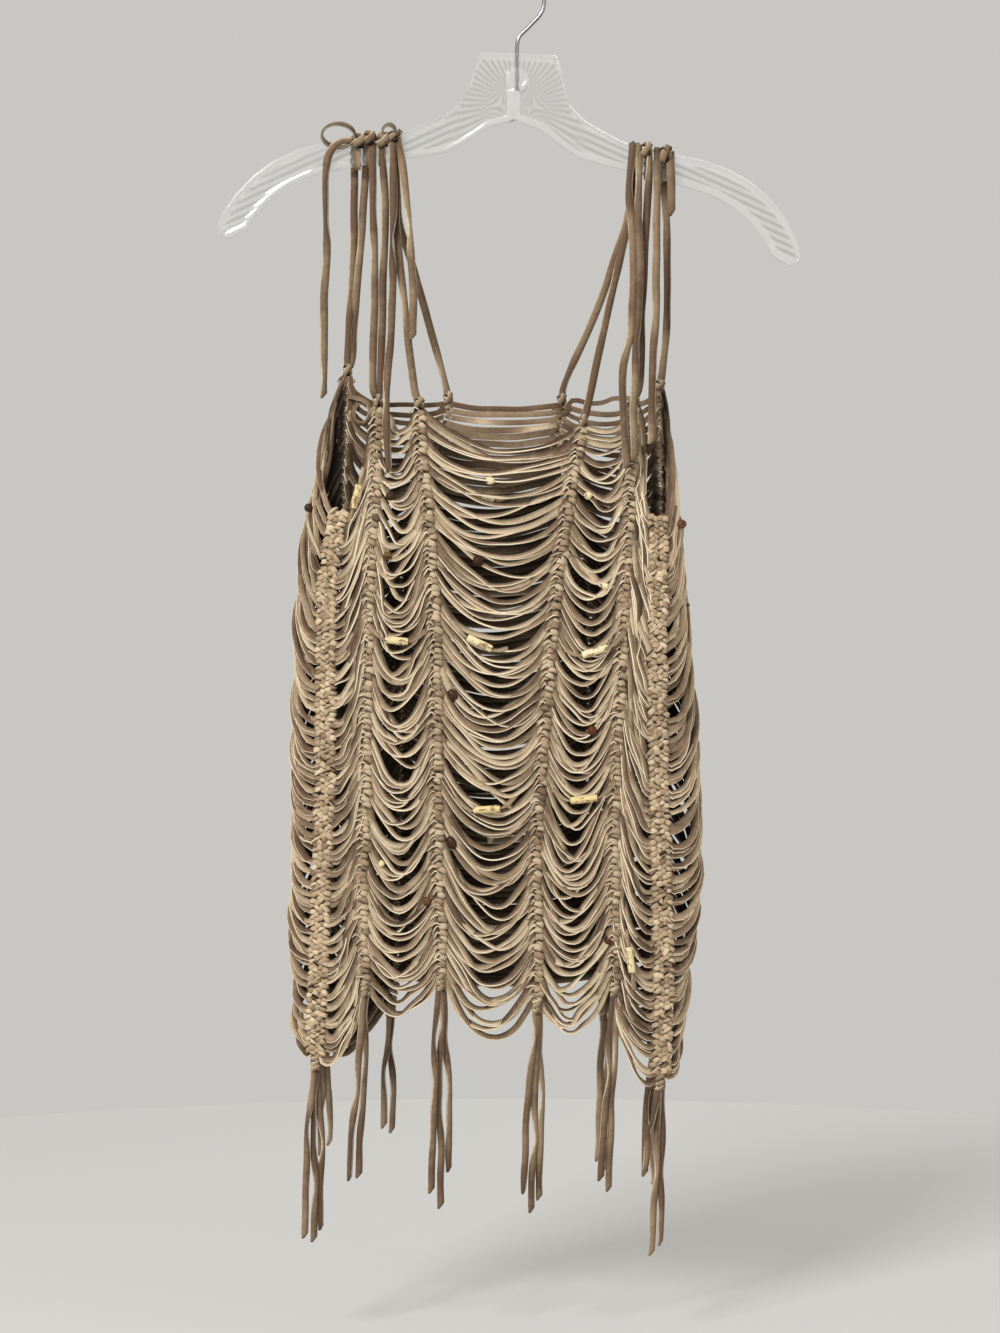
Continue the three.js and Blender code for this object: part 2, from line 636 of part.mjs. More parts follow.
addMesh('front_net', netGeometry(FRONT_PANELS), 'suede');
addMesh('back_net', netGeometry(BACK_PANELS), 'suede');
addMesh('seam_left', braidGeometry('seam_left'), 'braid');
addMesh('seam_right', braidGeometry('seam_right'), 'braid');
STRAPS.forEach((strap) => addMesh(`strap_${strap.column}`, strapGeometry(strap), 'suede'));
Object.entries(TIES).forEach(([name, tie]) => addMesh(name, tieGeometry(tie), 'suede'));
TAILS.forEach((tail) => addMesh(`tail_${tail.column}`, tailGeometry(tail), 'suede'));
BONE_TUBES.forEach(({ x, z, length, turn, front, inside }, i) => {
  const bulge = front ? FRONT_BULGE : BACK_BULGE;
  const clear = BONE_TUBE_DIAMETER / 2 + 2 * SEAM_GAP;
  const off = inside ? bulge - WALL - clear : bulge + clear;
  const mesh = addMesh(`bone_tube_${i + 1}`, boneTubeGeometry(length), 'bone');
  mesh.position.copy(ringPoint(z, ringAngle(x, z, front), off));
  mesh.rotation.y = THREE.MathUtils.degToRad(turn);
});
addMesh('hanger_body', hangerGeometry(socketGeometry()), 'clear');
addMesh('hanger_hook', hookGeometry(), 'steel');

export default group;
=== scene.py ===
# %% [markdown]
# # A top knotted from suede laces, on a clear hanger
# The garment has no woven cloth. About 90 rows of flat suede lace hang in swags between ten knotted
# columns, two plaited side seams join front and back, and the columns' ends are tied round the hanger.
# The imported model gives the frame: every piece here is worked out in the same place as its solid there.

# %% Frame
from collections import namedtuple

import bpy
import numpy as np
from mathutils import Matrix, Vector


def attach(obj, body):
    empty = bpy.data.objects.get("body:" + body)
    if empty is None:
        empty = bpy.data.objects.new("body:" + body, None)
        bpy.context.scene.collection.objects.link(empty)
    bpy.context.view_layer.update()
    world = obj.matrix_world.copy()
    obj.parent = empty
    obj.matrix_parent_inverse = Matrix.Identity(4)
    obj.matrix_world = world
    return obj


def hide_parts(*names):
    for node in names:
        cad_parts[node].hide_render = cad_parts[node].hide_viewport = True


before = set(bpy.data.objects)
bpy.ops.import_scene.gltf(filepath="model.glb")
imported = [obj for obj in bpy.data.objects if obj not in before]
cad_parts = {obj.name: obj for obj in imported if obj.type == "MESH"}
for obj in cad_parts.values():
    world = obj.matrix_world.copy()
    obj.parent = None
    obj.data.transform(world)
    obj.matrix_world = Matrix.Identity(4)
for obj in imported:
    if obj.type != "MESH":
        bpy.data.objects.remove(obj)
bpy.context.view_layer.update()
MM = 0.001
rng = np.random.default_rng(7)

# %% [markdown]
# ## Camera, light and floor
# The photo looks straight at the front from about two metres. The camera is level and its frame is
# 746 mm wide where the garment hangs. Soft light from the upper left, with the pale cut edges and the shade
# painted into the gaps, makes the bright edges and dark gaps.

# %% Camera
FRAME_HEIGHT = 0.994
CAMERA_DISTANCE = 2.2
FRAME_CENTRE = (-0.0127, -0.532)
SENSOR_MM = 36.0

camera_data = bpy.data.cameras.new("camera")
camera_data.sensor_fit = "VERTICAL"
camera_data.sensor_height = SENSOR_MM
camera_data.lens = SENSOR_MM * CAMERA_DISTANCE / FRAME_HEIGHT
camera = bpy.data.objects.new("camera", camera_data)
camera.location = (FRAME_CENTRE[0], -CAMERA_DISTANCE, FRAME_CENTRE[1])
camera.rotation_euler = (np.pi / 2, 0, 0)
bpy.context.collection.objects.link(camera)
bpy.context.scene.camera = camera
print("lens", round(camera_data.lens, 1), "mm")

# %% [markdown]
# ## One way to write a material
# A node tree is a sum written with boxes. The small class below wraps a socket, so that the sum can be
# written as Python: `1 - mask * 0.5` adds the Math nodes by itself.

# %% Socket arithmetic
class Socket:
    """A node's output that takes part in plain arithmetic."""

    def __init__(self, tree, output):
        self.tree = tree
        self.output = output

    def _math(self, operation, first, second):
        return node(self.tree, "ShaderNodeMath", {"operation": operation}, {0: first, 1: second})

    def __add__(self, other):
        return self._math("ADD", self, other)

    __radd__ = __add__

    def __mul__(self, other):
        return self._math("MULTIPLY", self, other)

    __rmul__ = __mul__

    def __sub__(self, other):
        return self._math("SUBTRACT", self, other)

    def __rsub__(self, other):
        return self._math("SUBTRACT", other, self)

# %% Nodes and materials
def node(tree, kind, settings=None, inputs=None, output=0):
    """Add one node: its settings first, then the values or links of its inputs."""
    made = tree.nodes.new(kind)
    for name, value in (settings or {}).items():
        if name == "stops":
            ramp = made.color_ramp
            while len(ramp.elements) < len(value):
                ramp.elements.new(1.0)
            for element, (place, colour) in zip(ramp.elements, value):
                element.position = place
                element.color = (*colour, 1.0)
        else:
            setattr(made, name, value)
    for key, value in (inputs or {}).items():
        if isinstance(value, Socket):
            tree.links.new(value.output, made.inputs[key])
        else:
            made.inputs[key].default_value = value
    return Socket(tree, made.outputs[output])


def new_material(name, **constants):
    """A Principled material with its constants set on the shader's own sockets."""
    material = bpy.data.materials.new(name)
    material.use_nodes = True
    shader = material.node_tree.nodes["Principled BSDF"]
    for socket, value in constants.items():
        shader.inputs[socket.replace("_", " ")].default_value = value
    return material, material.node_tree, shader

# %% Colours, noise and attributes
def mix_colours(tree, factor, first, second, blend="MIX"):
    """Mix two colours, each a socket or a plain (r, g, b)."""
    colours = [c if isinstance(c, Socket) else (*c, 1.0) for c in (first, second)]
    settings = {"data_type": "RGBA", "blend_type": blend}
    return node(tree, "ShaderNodeMix", settings, {0: factor, 6: colours[0], 7: colours[1]}, output=2)


def noise(tree, place, scale, detail=3.0, roughness=0.55):
    """Soft noise on a place, from 0 to 1."""
    return node(tree, "ShaderNodeTexNoise", {}, {"Vector": place, "Scale": scale, "Detail": detail,
                                                 "Roughness": roughness})


def attribute(tree, label, output=2):
    """A number, or with output 1 a vector, that the mesh carries on its points."""
    return node(tree, "ShaderNodeAttribute", {"attribute_name": label}, output=output)


def rise(tree, value, low, high, start=0.0, end=1.0):
    """A value's way from low to high, turned into one from start to end and held there."""
    return node(tree, "ShaderNodeMapRange", {"clamp": True}, {0: value, 1: low, 2: high, 3: start, 4: end})


def drive(tree, shader, socket, value):
    tree.links.new(value.output, shader.inputs[socket])


def drive_bump(tree, shader, height, strength, distance):
    bump = node(tree, "ShaderNodeBump", {}, {"Strength": strength, "Distance": distance, "Height": height})
    drive(tree, shader, "Normal", bump)

# %% [markdown]
# ## Suede
# Suede lace is cut from a hide whose nap was raised. Its faces are taupe and drink the light, its cut
# edges are paler and fibrous, and no two lengths have quite the same tone. Each lace carries three numbers
# on its points for this: how near the cut edge a point is, the tone of its length, which also carries some
# painted light and shade, and how deep it lies, which paints shade where it lies deep.

# %% Suede material
# Dark, middle and cream tone of the laces, and of the plaits where their inner side shows
TAUPE = [(0.15, 0.094, 0.06), (0.375, 0.277, 0.178), (0.57, 0.456, 0.312)]
PALE = [(0.27, 0.19, 0.12), (0.56, 0.43, 0.285), (0.72, 0.58, 0.41)]
TONE_PLACES = (0.05, 0.72, 1.0)
CUT_EDGE = (0.93, 0.82, 0.63)
# The share of its colour that the painted shade leaves where a lace lies deepest
LEFT_IN_DEEPEST_PAINTED_SHADE = 0.03


def suede_material(name, tones):
    """Suede: the face runs through three tones by the lace's own number and nap noise, it is pale at the
    cut edge, and painted shade darkens it where the lace lies deep."""
    material, tree, shader = new_material(name, Roughness=0.9, Sheen_Weight=0.06, Specular_IOR_Level=0.15)
    place = node(tree, "ShaderNodeTexCoord", output=3)
    nap = noise(tree, place, 260.0, 4.0, 0.65)
    patches = noise(tree, place, 38.0, 2.0)
    fibres = noise(tree, place, 1500.0, 3.0, 0.7)
    shade = attribute(tree, "tone") + (patches - 0.5) * 0.9 + (nap - 0.5) * 0.6
    body = node(tree, "ShaderNodeValToRGB", {"stops": list(zip(TONE_PLACES, tones))}, {0: shade})
    cut = rise(tree, attribute(tree, "edge") + (nap - 0.5) * 0.3, 0.35, 0.85)
    worn = mix_colours(tree, cut, body, CUT_EDGE)
    # Painted shade: the colour is multiplied down where the lace lies deep, to the share left at its deepest
    light = rise(tree, attribute(tree, "depth"), 0.15, 0.9, 1.0, LEFT_IN_DEEPEST_PAINTED_SHADE)
    depth_painted_shade = node(tree, "ShaderNodeCombineColor", {}, {0: light, 1: light * 0.97, 2: light * 0.93})
    drive(tree, shader, "Base Color", mix_colours(tree, 1.0, worn, depth_painted_shade, "MULTIPLY"))
    drive_bump(tree, shader, nap * 0.7 + fibres * 0.5, 0.6, 0.0004)
    return material


suede = suede_material("suede", TAUPE)
suede_pale = suede_material("suede_pale", PALE)
print("materials:", suede.name, suede_pale.name)

# %% [markdown]
# ## A flat lace as numbers
# A lace is a small eight-sided section carried along a line. At each station it needs a centre, the
# direction of its width and the direction of its thickness. All laces of a net are worked out at once,
# as arrays of rows by stations, so no loop runs over points.

# %% Lace sections
# Across and through the lace as shares of its width and thickness, cut edge showing, and depth in the net,
# which paints shade
LACE_SECTION = np.array([
    (-0.50, -0.30, 0.3, 1.0), (-0.38, -0.50, 0.0, 0.9), (0.36, -0.50, 0.0, 0.0), (0.50, -0.30, 1.0, 0.0),
    (0.50, 0.30, 1.0, 0.0), (0.36, 0.50, 0.0, 0.0), (-0.38, 0.50, 0.0, 0.9), (-0.50, 0.30, 0.3, 1.0),
])
# The same for a lace that hangs free: a little cupped, both edges pale, and painted shade on one half
FREE_SECTION = np.array([
    (-0.50, 0.20, 0.6, 0.45), (-0.38, -0.50, 0.0, 0.45), (0.36, -0.50, 0.0, 0.0), (0.50, 0.20, 0.6, 0.0),
    (0.50, 0.80, 0.6, 0.0), (0.36, 0.50, 0.0, 0.0), (-0.38, 0.50, 0.0, 0.45), (-0.50, 0.80, 0.6, 0.45),
])
LACE_WIDTH = 4.5 * MM
LACE_THICKNESS = 1.3 * MM

# %% Sweep a section
def unit(vectors):
    """Vectors divided by their own length."""
    return vectors / np.maximum(np.linalg.norm(vectors, axis=-1, keepdims=True), 1e-12)


def sweep(centres, wide, thin, section):
    """Points of a section carried along: centre + wide * across + thin * through, per row and station."""
    across = section[:, 0][:, None]
    through = section[:, 1][:, None]
    return centres[:, :, None, :] + wide[:, :, None, :] * across + thin[:, :, None, :] * through


def tube_faces(rows, stations, sides):
    """Quads round each swept row, wound outwards, and a closing polygon on each end."""
    row = np.arange(rows)[:, None, None] * stations * sides
    station = np.arange(stations - 1)[None, :, None] * sides
    side = np.arange(sides)[None, None, :]
    near = row + station + side
    near_next = row + station + (side + 1) % sides
    quads = np.stack([near, near_next, near_next + sides, near + sides], axis=-1).reshape(-1, 4)
    ring = np.arange(sides)[None, :]
    start = np.arange(rows)[:, None] * stations * sides
    caps = np.concatenate([start + ring[:, ::-1], start + (stations - 1) * sides + ring])
    return quads, caps

# %% Collect grids into one mesh
class Parts:
    """Collects swept strips and other grids, then makes them one mesh with its attributes."""

    def __init__(self):
        self.points = []
        self.polygons = []
        self.values = {}
        self.count = 0

    def add(self, points, polygons, **values):
        """Add a grid of points, its polygons, and a value of each named kind to a point."""
        self.points.append(points.reshape(-1, 3))
        self.polygons += [polygon + self.count for polygon in polygons]
        for label, value in values.items():
            shape = points.shape if label == "own" else points.shape[:-1]
            self.values.setdefault(label, []).append(np.broadcast_to(value, shape).reshape(-1))
        self.count += points.size // 3

    def add_laces(self, centres, wide, thin, tone, section=LACE_SECTION, deep=1.0, back=0.0):
        """Add laces: centres are rows by stations. tone is a number to a row or to a station, and deep, a
        number to a station or one for all, is the share of the section's depth, its painted shade, that
        counts.
        back is extra painted shade on the side that thin points to, or on the other side where it is
        negative."""
        rows, stations, _ = centres.shape
        points = sweep(centres, wide, thin, section)
        tone = np.asarray(tone, float).reshape(rows, -1, 1)
        depth = section[:, 3] * np.asarray(deep, float)[..., None]
        depth = depth + np.clip(2 * section[:, 1] * np.asarray(back, float)[..., None], 0, None)
        self.add(points, tube_faces(rows, stations, len(section)), edge=section[:, 2], depth=depth, tone=tone)

    def to_object(self, name, material):
        """Make all that was added one smooth mesh, and print its size."""
        points = np.concatenate(self.points)
        mesh = bpy.data.meshes.new(name)
        sizes = np.concatenate([np.full(len(p), p.shape[1]) for p in self.polygons])
        corners = np.concatenate([p.reshape(-1) for p in self.polygons])
        mesh.vertices.add(len(points))
        mesh.vertices.foreach_set("co", points.astype(np.float32).ravel())
        mesh.loops.add(len(corners))
        mesh.loops.foreach_set("vertex_index", corners.astype(np.int32))
        mesh.polygons.add(len(sizes))
        mesh.polygons.foreach_set("loop_start", (np.cumsum(sizes) - sizes).astype(np.int32))
        mesh.polygons.foreach_set("use_smooth", np.full(len(sizes), True))
        mesh.update(calc_edges=True)
        for label, values in self.values.items():
            kind, field = ("FLOAT_VECTOR", "vector") if label == "own" else ("FLOAT", "value")
            attribute = mesh.attributes.new(label, kind, "POINT")
            attribute.data.foreach_set(field, np.concatenate(values).astype(np.float32))
        mesh.materials.append(material)
        made = bpy.data.objects.new(name, mesh)
        bpy.context.collection.objects.link(made)
        triangles = int((sizes - 2).sum())
        print(f"{name}: {len(points)} points, {triangles} triangles")
        return made

# %% Directions on a lace
def lace_frame(centres, outward, turn):
    """The width and thickness directions of laces: the width leans from the outward direction, at turn 0,
    down the surface, at turn 90 degrees, always square to the lace's own run."""
    run = unit(np.gradient(centres, axis=1))
    outward = unit(outward - run * np.sum(outward * run, axis=-1, keepdims=True))
    down = unit(np.cross(run, outward))
    down = np.where(down[..., 2:3] > 0, -down, down)
    wide = unit(outward * np.cos(turn)[..., None] + down * np.sin(turn)[..., None])
    return wide, unit(np.cross(run, wide))

# %% [markdown]
# ## The hanging body
# Seen from the front the body is bounded by its left and right edge, and from above it is a flattened
# ring. A place on it is a height and an angle round that ring. The tables give the outline and the run
# of each knotted column in millimetres, as on the solids.

# %% The body and the columns in millimetres
RING_POWER = 2.5
# Height, left edge, right edge, half depth
BODY = np.array([
    (-310, -132, 112, 11), (-342, -140, 113.5, 13), (-402, -150, 116.5, 18), (-476, -160, 124, 24),
    (-551, -164.5, 130, 28), (-625, -165.5, 133.5, 29), (-685, -165.5, 135.5, 29), (-737, -166, 130, 28),
    (-790, -165, 121, 26), (-860, -158, 119, 24),
])
# Each column's top and hem, front side or not, half width, and its run as height and place across
COLUMN_TABLE = {
    "seam_left": (-415, -818, True, 7, [(-403, -128), (-427, -133.5), (-473, -141.4), (-614, -141.4),
                                        (-752, -147), (-820, -149.4)]),
    "front_1": (-339, -762, True, 4, [(-339, -103.2), (-416, -106), (-496, -109.7), (-614, -111.9),
                                      (-689, -114), (-762, -112)]),
    "front_2": (-341, -757, True, 4, [(-341, -72.5), (-377, -70.5), (-431, -64.5), (-502, -60),
                                      (-637, -59.2), (-757, -56)]),
    "front_3": (-354, -774, True, 4, [(-354, 49), (-398, 40), (-446, 32.7), (-516, 25), (-600, 18.4),
                                      (-671, 13.6), (-774, 14.9)]),
    "front_4": (-338, -762, True, 4, [(-338, 87.5), (-398, 84.5), (-450, 81), (-553, 75.3), (-649, 71),
                                      (-762, 72)]),
    "seam_right": (-419, -833, True, 7, [(-419, 104), (-450, 104.5), (-553, 103), (-671, 106),
                                         (-775, 109), (-833, 106)]),
    "back_4": (-326, -812, False, 4, [(-326, 107), (-450, 108), (-625, 107), (-812, 101)]),
    "back_3": (-336, -781, False, 4, [(-336, 33.6), (-363, 30.6), (-408, 39), (-475, 55), (-625, 54),
                                      (-781, 65)]),
    "back_2": (-335, -783, False, 4, [(-335, -51.5), (-363, -57.5), (-400, -72), (-453, -87), (-588, -87),
                                      (-755, -91), (-783, -95)]),
    "back_1": (-315, -811, False, 4, [(-315, -126.5), (-420, -130), (-550, -138), (-700, -142),
                                      (-811, -144)]),
}
Column = namedtuple("Column", "top hem front half_width run")
COLUMNS = {name: Column(*row) for name, row in COLUMN_TABLE.items()}
print(len(COLUMNS), "columns, the body is", BODY[:, 2].max() - BODY[:, 1].min(), "mm wide")

# %% Places on the body
def at_height(rows, z, column):
    """A table's value at each height, straight between its rows."""
    rows = np.asarray(rows, float)
    return np.interp(-z, -rows[:, 0], rows[:, column])


def ring_at(z):
    """The ring's middle across and its half width and half depth at each height."""
    left, right, half = (at_height(BODY, z, k) for k in (1, 2, 3))
    return (left + right) / 2, (right - left) / 2, half


def ring_angle(x, z, front):
    """The angle whose point on the ring lies at x: across and deep fill the flattened ring's equation
    |across| ** p + |deep| ** p = 1."""
    centre, half_width, _ = ring_at(z)
    across = np.clip((x - centre) / half_width, -0.995, 0.995)
    deep = (1 - np.abs(across) ** RING_POWER) ** (1 / RING_POWER)
    return np.arctan2(deep if front else -deep, across)


def ring_place(z, angle, out):
    """The ring's point at a height and angle, out along its level normal, and that normal."""
    centre, half_width, half_depth = ring_at(z)
    cos, sin = np.cos(angle), np.sin(angle)
    reach = (np.abs(cos) ** RING_POWER + np.abs(sin) ** RING_POWER) ** (-1 / RING_POWER)
    across, deep = reach * cos, reach * sin
    normal = unit(np.stack([
        np.sign(across) * np.abs(across) ** (RING_POWER - 1) / half_width,
        -np.sign(deep) * np.abs(deep) ** (RING_POWER - 1) / half_depth,
        np.zeros_like(across),
    ], axis=-1))
    point = np.stack([centre + half_width * across, -half_depth * deep, z + 0 * across], axis=-1)
    return point + normal * np.asarray(out)[..., None], normal

# %% Places on a column
def column_height(name, down):
    """The height at a share of the way down a column."""
    column = COLUMNS[name]
    return column.top + (column.hem - column.top) * down


def column_angle(name, down, aside=0.0):
    """The angle of a line beside a column, aside millimetres to the right as seen from the front."""
    column, z = COLUMNS[name], column_height(name, down)
    return ring_angle(at_height(column.run, z, 1) + aside, z, column.front)


def column_end(name, down):
    """The middle of a column's head, at down 0, or of its foot, at down 1."""
    down = np.array([float(down)])
    return ring_place(column_height(name, down), column_angle(name, down), np.zeros(1))[0][0]

# %% [markdown]
# ## The nets
# A lace leaves a column steeply, sags into a rounded U and climbs to the next column. A flat strip can't
# bend on its edge, so at the bottom of the U it turns its face up and shows the viewer its pale cut edge,
# while on the steep stretches its face shows. Neighbouring laces bunch together and leave gaps, dark with
# real shade and with shade painted on the laces' inner sides, so each lace gets its own small share of sag,
# lean and wander, drawn from a seeded generator.

# %% Widths of swags
ROWS = 90
# The shares of the way down at which the sags below are given
SAG_AT = [0, 0.1, 0.25, 0.6, 1]
# A width of swags between two columns. sags are in millimetres at those shares, lean is in degrees in the
# middle, and stations and wander are the points on a lace and how much it strays. raised is how much higher
# it ends than it leaves a seam, short how far above the hem the rows stop, both as shares of the column.
# gather is how far laces close up into bunches, dark how much painted shade their inner side gets, and narrow
# and broad give the narrowest and the widest lace as shares of the usual width.
Panel = namedtuple("Panel", "start end sags stations wander lean raised short gather dark narrow broad",
                   defaults=(0, 0, 0.55, 1.0, 0.8, 1.12))
FRONT_PANELS = [
    Panel("seam_left", "front_1", (5, 7, 9, 12, 12), 17, 1.4, 60),
    Panel("front_1", "front_2", (12, 28, 40, 42, 29), 18, 1.35, 34, gather=0.6),
    Panel("front_2", "front_3", (21, 25, 33, 39, 41), 25, 1.3, 38, gather=0.5),
    Panel("front_3", "front_4", (10, 28, 43, 45, 32), 20, 1.35, 34, gather=0.6),
    Panel("seam_right", "front_4", (5, 7, 9, 12, 12), 17, 1.4, 60),
]
BACK_PANELS = [
    Panel("seam_right", "back_4", (8, 10, 12, 14, 12), 17, 1.8, 60, 0.12, 0, 0.6, 0.85, 0.8, 1.25),
    Panel("back_4", "back_3", (12, 20, 24, 26, 12), 15, 1.0, 76, 0, 0, 0.15, 0.6, 1.1, 1.35),
    Panel("back_3", "back_2", (3, 9, 20, 26, 6), 22, 0.7, 78, 0, 0.04, 0.1, 0.6, 1.2, 1.45),
    Panel("back_2", "back_1", (12, 20, 26, 30, 24), 15, 1.0, 76, 0, 0, 0.15, 0.6, 1.1, 1.35),
    Panel("seam_left", "back_1", (8, 10, 12, 14, 10), 17, 1.8, 60, 0.12, 0, 0.6, 0.85, 0.8, 1.25),
]
print("laces in both nets:", ROWS * len(FRONT_PANELS + BACK_PANELS))

# %% How the laces of a width lie
# How far the swags stand out of the body in their middle, the laces' share of it, and where they start
FRONT_BULGE = 2.5
BACK_BULGE = 1.5
LACE_BULGE = 0.6
NET_DEPTH = -1.0
LEAN_AT_COLUMN = 74.0
TWISTED_SHARE = 0.2
# The height at which the columns' places across are compared, and where on its half width a lace is held
MIDDLE_Z = -600
HELD_AT = 0.4
# The back's laces get a duller tone, as painted shade inside the body, and painted shade on the side that
# faces the front. Over the first eighth of the way down they look over the neck: there they get less of the
# painted shade that goes with depth and on their inner side, as they lie in more light, but a duller tone
# still, as painted shade, and they are narrower
BACK_PAINTED_SHADE = 0.12
BACK_INSIDE_PAINTED_SHADE = 0.5
NECK_SHARE = 1 / 8
NECK_LESS_PAINTED_SHADE = 0.55
NECK_PAINTED_SHADE = 0.25
NECK_NARROWER = 0.32

# %% Wander, twists and bunches
def smooth_rows(values, reach):
    """A running mean down the rows, for slow drifts from lace to lace."""
    kernel = np.hanning(2 * reach + 3)
    padded = np.pad(values, (reach + 1, reach + 1), mode="edge")
    return np.convolve(padded, kernel / kernel.sum(), mode="valid")


def wander(stations, waves, own=0.6, reach=3):
    """Rows by stations of smooth wander, about -1 to 1: sine waves along each lace. Each wave's strength is
    partly the lace's own and partly shared with its neighbours, so that laces bunch together."""
    s = np.linspace(0, 1, stations)[None, :]
    total = np.zeros((ROWS, stations))
    for wave in waves:
        shared = smooth_rows(rng.normal(size=ROWS), reach) * np.sqrt(reach + 1)
        strength = own * rng.normal(size=ROWS) + (1 - own) * shared
        phase = rng.uniform(0, 2 * np.pi) + np.cumsum(0.25 * rng.normal(size=ROWS))
        total += (strength / np.sqrt(wave))[:, None] * np.sin(np.pi * wave * s + phase[:, None])
    return total / np.sqrt(len(waves))


def twists(stations):
    """Rows by stations of extra turn: a few laces twist over a short length and show their face."""
    s = np.linspace(0, 1, stations)[None, :]
    place = rng.uniform(0.1, 0.9, size=(ROWS, 1))
    amount = np.where(rng.uniform(size=(ROWS, 1)) < TWISTED_SHARE, rng.uniform(0.5, 1.0, size=(ROWS, 1)), 0)
    return amount * np.exp(-((s - place) / 0.17) ** 2)


def bunches():
    """How far each lace lies from the middle of its bunch of one to four, in rows down."""
    row = np.arange(ROWS)
    bunch = np.repeat(row, rng.integers(1, 5, ROWS))[:ROWS]
    middle = np.bincount(bunch, row) / np.bincount(bunch)
    return (row - middle[bunch])[:, None]

# %% Lines of a width's laces
def swag_ends(panel, down):
    """The heights and the angles round the body at which each lace leaves its first column and meets the
    second one."""
    start, end = COLUMNS[panel.start], COLUMNS[panel.end]
    far_down = np.clip(down - panel.raised, 0, 1)
    first_x, last_x = (at_height(column.run, MIDDLE_Z, 1) for column in (start, end))
    if start.front and not end.front:
        leave = arrive = np.sign(first_x)
    else:
        leave = np.sign(last_x - first_x)
        arrive = -leave
    first = column_angle(panel.start, down, leave * start.half_width * HELD_AT)
    last = column_angle(panel.end, far_down, arrive * end.half_width * HELD_AT)
    last = first + (last - first + np.pi) % (2 * np.pi) - np.pi
    return column_height(panel.start, down), column_height(panel.end, far_down), first, last


def swag_lines(panel, down):
    """The laces' middle lines, the outward directions on them and how steep they run. A plain width hangs
    below the straight line between its columns by sag * 4w(1 - w), w from 0 to 1. Beside a seam a lace
    leaves level and climbs late, as a quarter of an ellipse: sin across and 1 - cos up."""
    at_seam = panel.start.startswith("seam")
    front = COLUMNS[panel.end].front
    height, far_height, first, last = (value[:, None] for value in swag_ends(panel, down))
    s = np.linspace(0, 1, panel.stations)[None, :]
    if at_seam and front:
        across, climb = np.sin(np.pi / 2 * s), 1 - np.cos(np.pi / 2 * s)
    else:
        across, climb = s, s ** (1.3 if at_seam else 1.0)
    drift = smooth_rows(rng.normal(size=ROWS), 4)[:, None]
    skew = panel.wander * (0.045 * rng.normal(size=(ROWS, 1)) + 0.06 * drift)
    bent = (s ** 0.6 if at_seam else s) + skew * 4 * s * (1 - s)
    arch = np.clip(4 * bent * (1 - bent), 0, 1) ** 0.92
    uneven = 0.12 * smooth_rows(rng.normal(size=ROWS), 2) + 0.05 * rng.normal(size=ROWS)
    sag = np.interp(np.linspace(0, 1, ROWS), SAG_AT, panel.sags) * (1 + panel.wander * uneven)
    pitch = (COLUMNS[panel.start].top - COLUMNS[panel.start].hem) / ROWS
    gathered = bunches() * (1 - s) + bunches() * s
    z = height * (1 - climb) + far_height * climb
    z = z - sag[:, None] * arch + panel.gather * pitch * gathered * arch
    out = NET_DEPTH + LACE_BULGE * (FRONT_BULGE if front else BACK_BULGE) * arch
    centres, outward = ring_place(z, first * (1 - across) + last * across, out)
    run = unit(np.gradient(centres, axis=1))
    beside = unit(np.cross(run, outward))
    beside = np.where(beside[..., 2:3] > 0, -beside, beside)
    steep = np.abs(run[..., 2])
    loose = panel.wander * np.sin(np.pi * s) ** 0.4
    sideways = loose * (1.3 + 1.8 * steep) * wander(panel.stations, (1, 2, 3, 5))
    outwards = loose * (0.5 + 1.3 * steep) * wander(panel.stations, (1, 2, 4), own=0.9)
    return centres + beside * sideways[..., None] + outward * outwards[..., None], outward, steep

# %% Laces of a width
def add_panel(parts, panel):
    """Add a width's laces and give their lines. In its middle a lace leans by the panel's lean, more where
    it runs steeply or twists, and less at the body's side. Each has its own tone and width."""
    down = np.linspace(0, 1 - panel.short, ROWS)
    centres, outward, steep = swag_lines(panel, down)
    s = np.linspace(0, 1, panel.stations)[None, :]
    at_side = outward[..., 0] ** 2
    behind = 0.0 if COLUMNS[panel.end].front else 1.0
    at_neck = behind * np.clip(1 - down / NECK_SHARE, 0, 1)[:, None]
    twist = twists(panel.stations)
    lean = LEAN_AT_COLUMN + (panel.lean - LEAN_AT_COLUMN) * np.sin(np.pi * s) ** 1.3
    lean = lean + 8 * steep + 24 * panel.wander * wander(panel.stations, (1, 2, 3), own=0.8) + 55 * twist
    lean = np.radians(lean * (1 - 0.8 * at_side))
    # Each lace has its own tone that drifts along it. A twisted stretch is painted lighter, a painted
    # highlight where its face turns to the light, and the back is painted darker, as shade inside the body
    tone = rng.uniform(0.1, 1.0, size=(ROWS, 1)) + 0.22 * wander(panel.stations, (1, 2, 3)) + 0.8 * twist
    tone = tone - BACK_PAINTED_SHADE * behind - NECK_PAINTED_SHADE * at_neck
    # Painted shade on each lace's deep side: more where it lies edge on, less at the body's side and over the
    # neck
    deep = panel.dark * (0.6 + 0.4 * np.clip(np.cos(lean), 0, 1)) * (1 - 0.2 * at_side)
    deep = deep * (1 - NECK_LESS_PAINTED_SHADE * at_neck)
    width = LACE_WIDTH * rng.uniform(panel.narrow, panel.broad, size=(ROWS, 1, 1))
    width = width * (1 - NECK_NARROWER * at_neck[..., None])
    wide, thin = lace_frame(centres, outward, lean)
    # The back's laces also get painted shade on the side that faces the front
    inward = -np.sign(np.sum(thin * outward, axis=-1))
    painted_inside_shade = behind * BACK_INSIDE_PAINTED_SHADE * (1 - at_neck) * (1 - at_side)
    parts.add_laces(centres * MM, wide * width, thin * LACE_THICKNESS, tone, LACE_SECTION, deep,
                    painted_inside_shade * inward)
    return centres

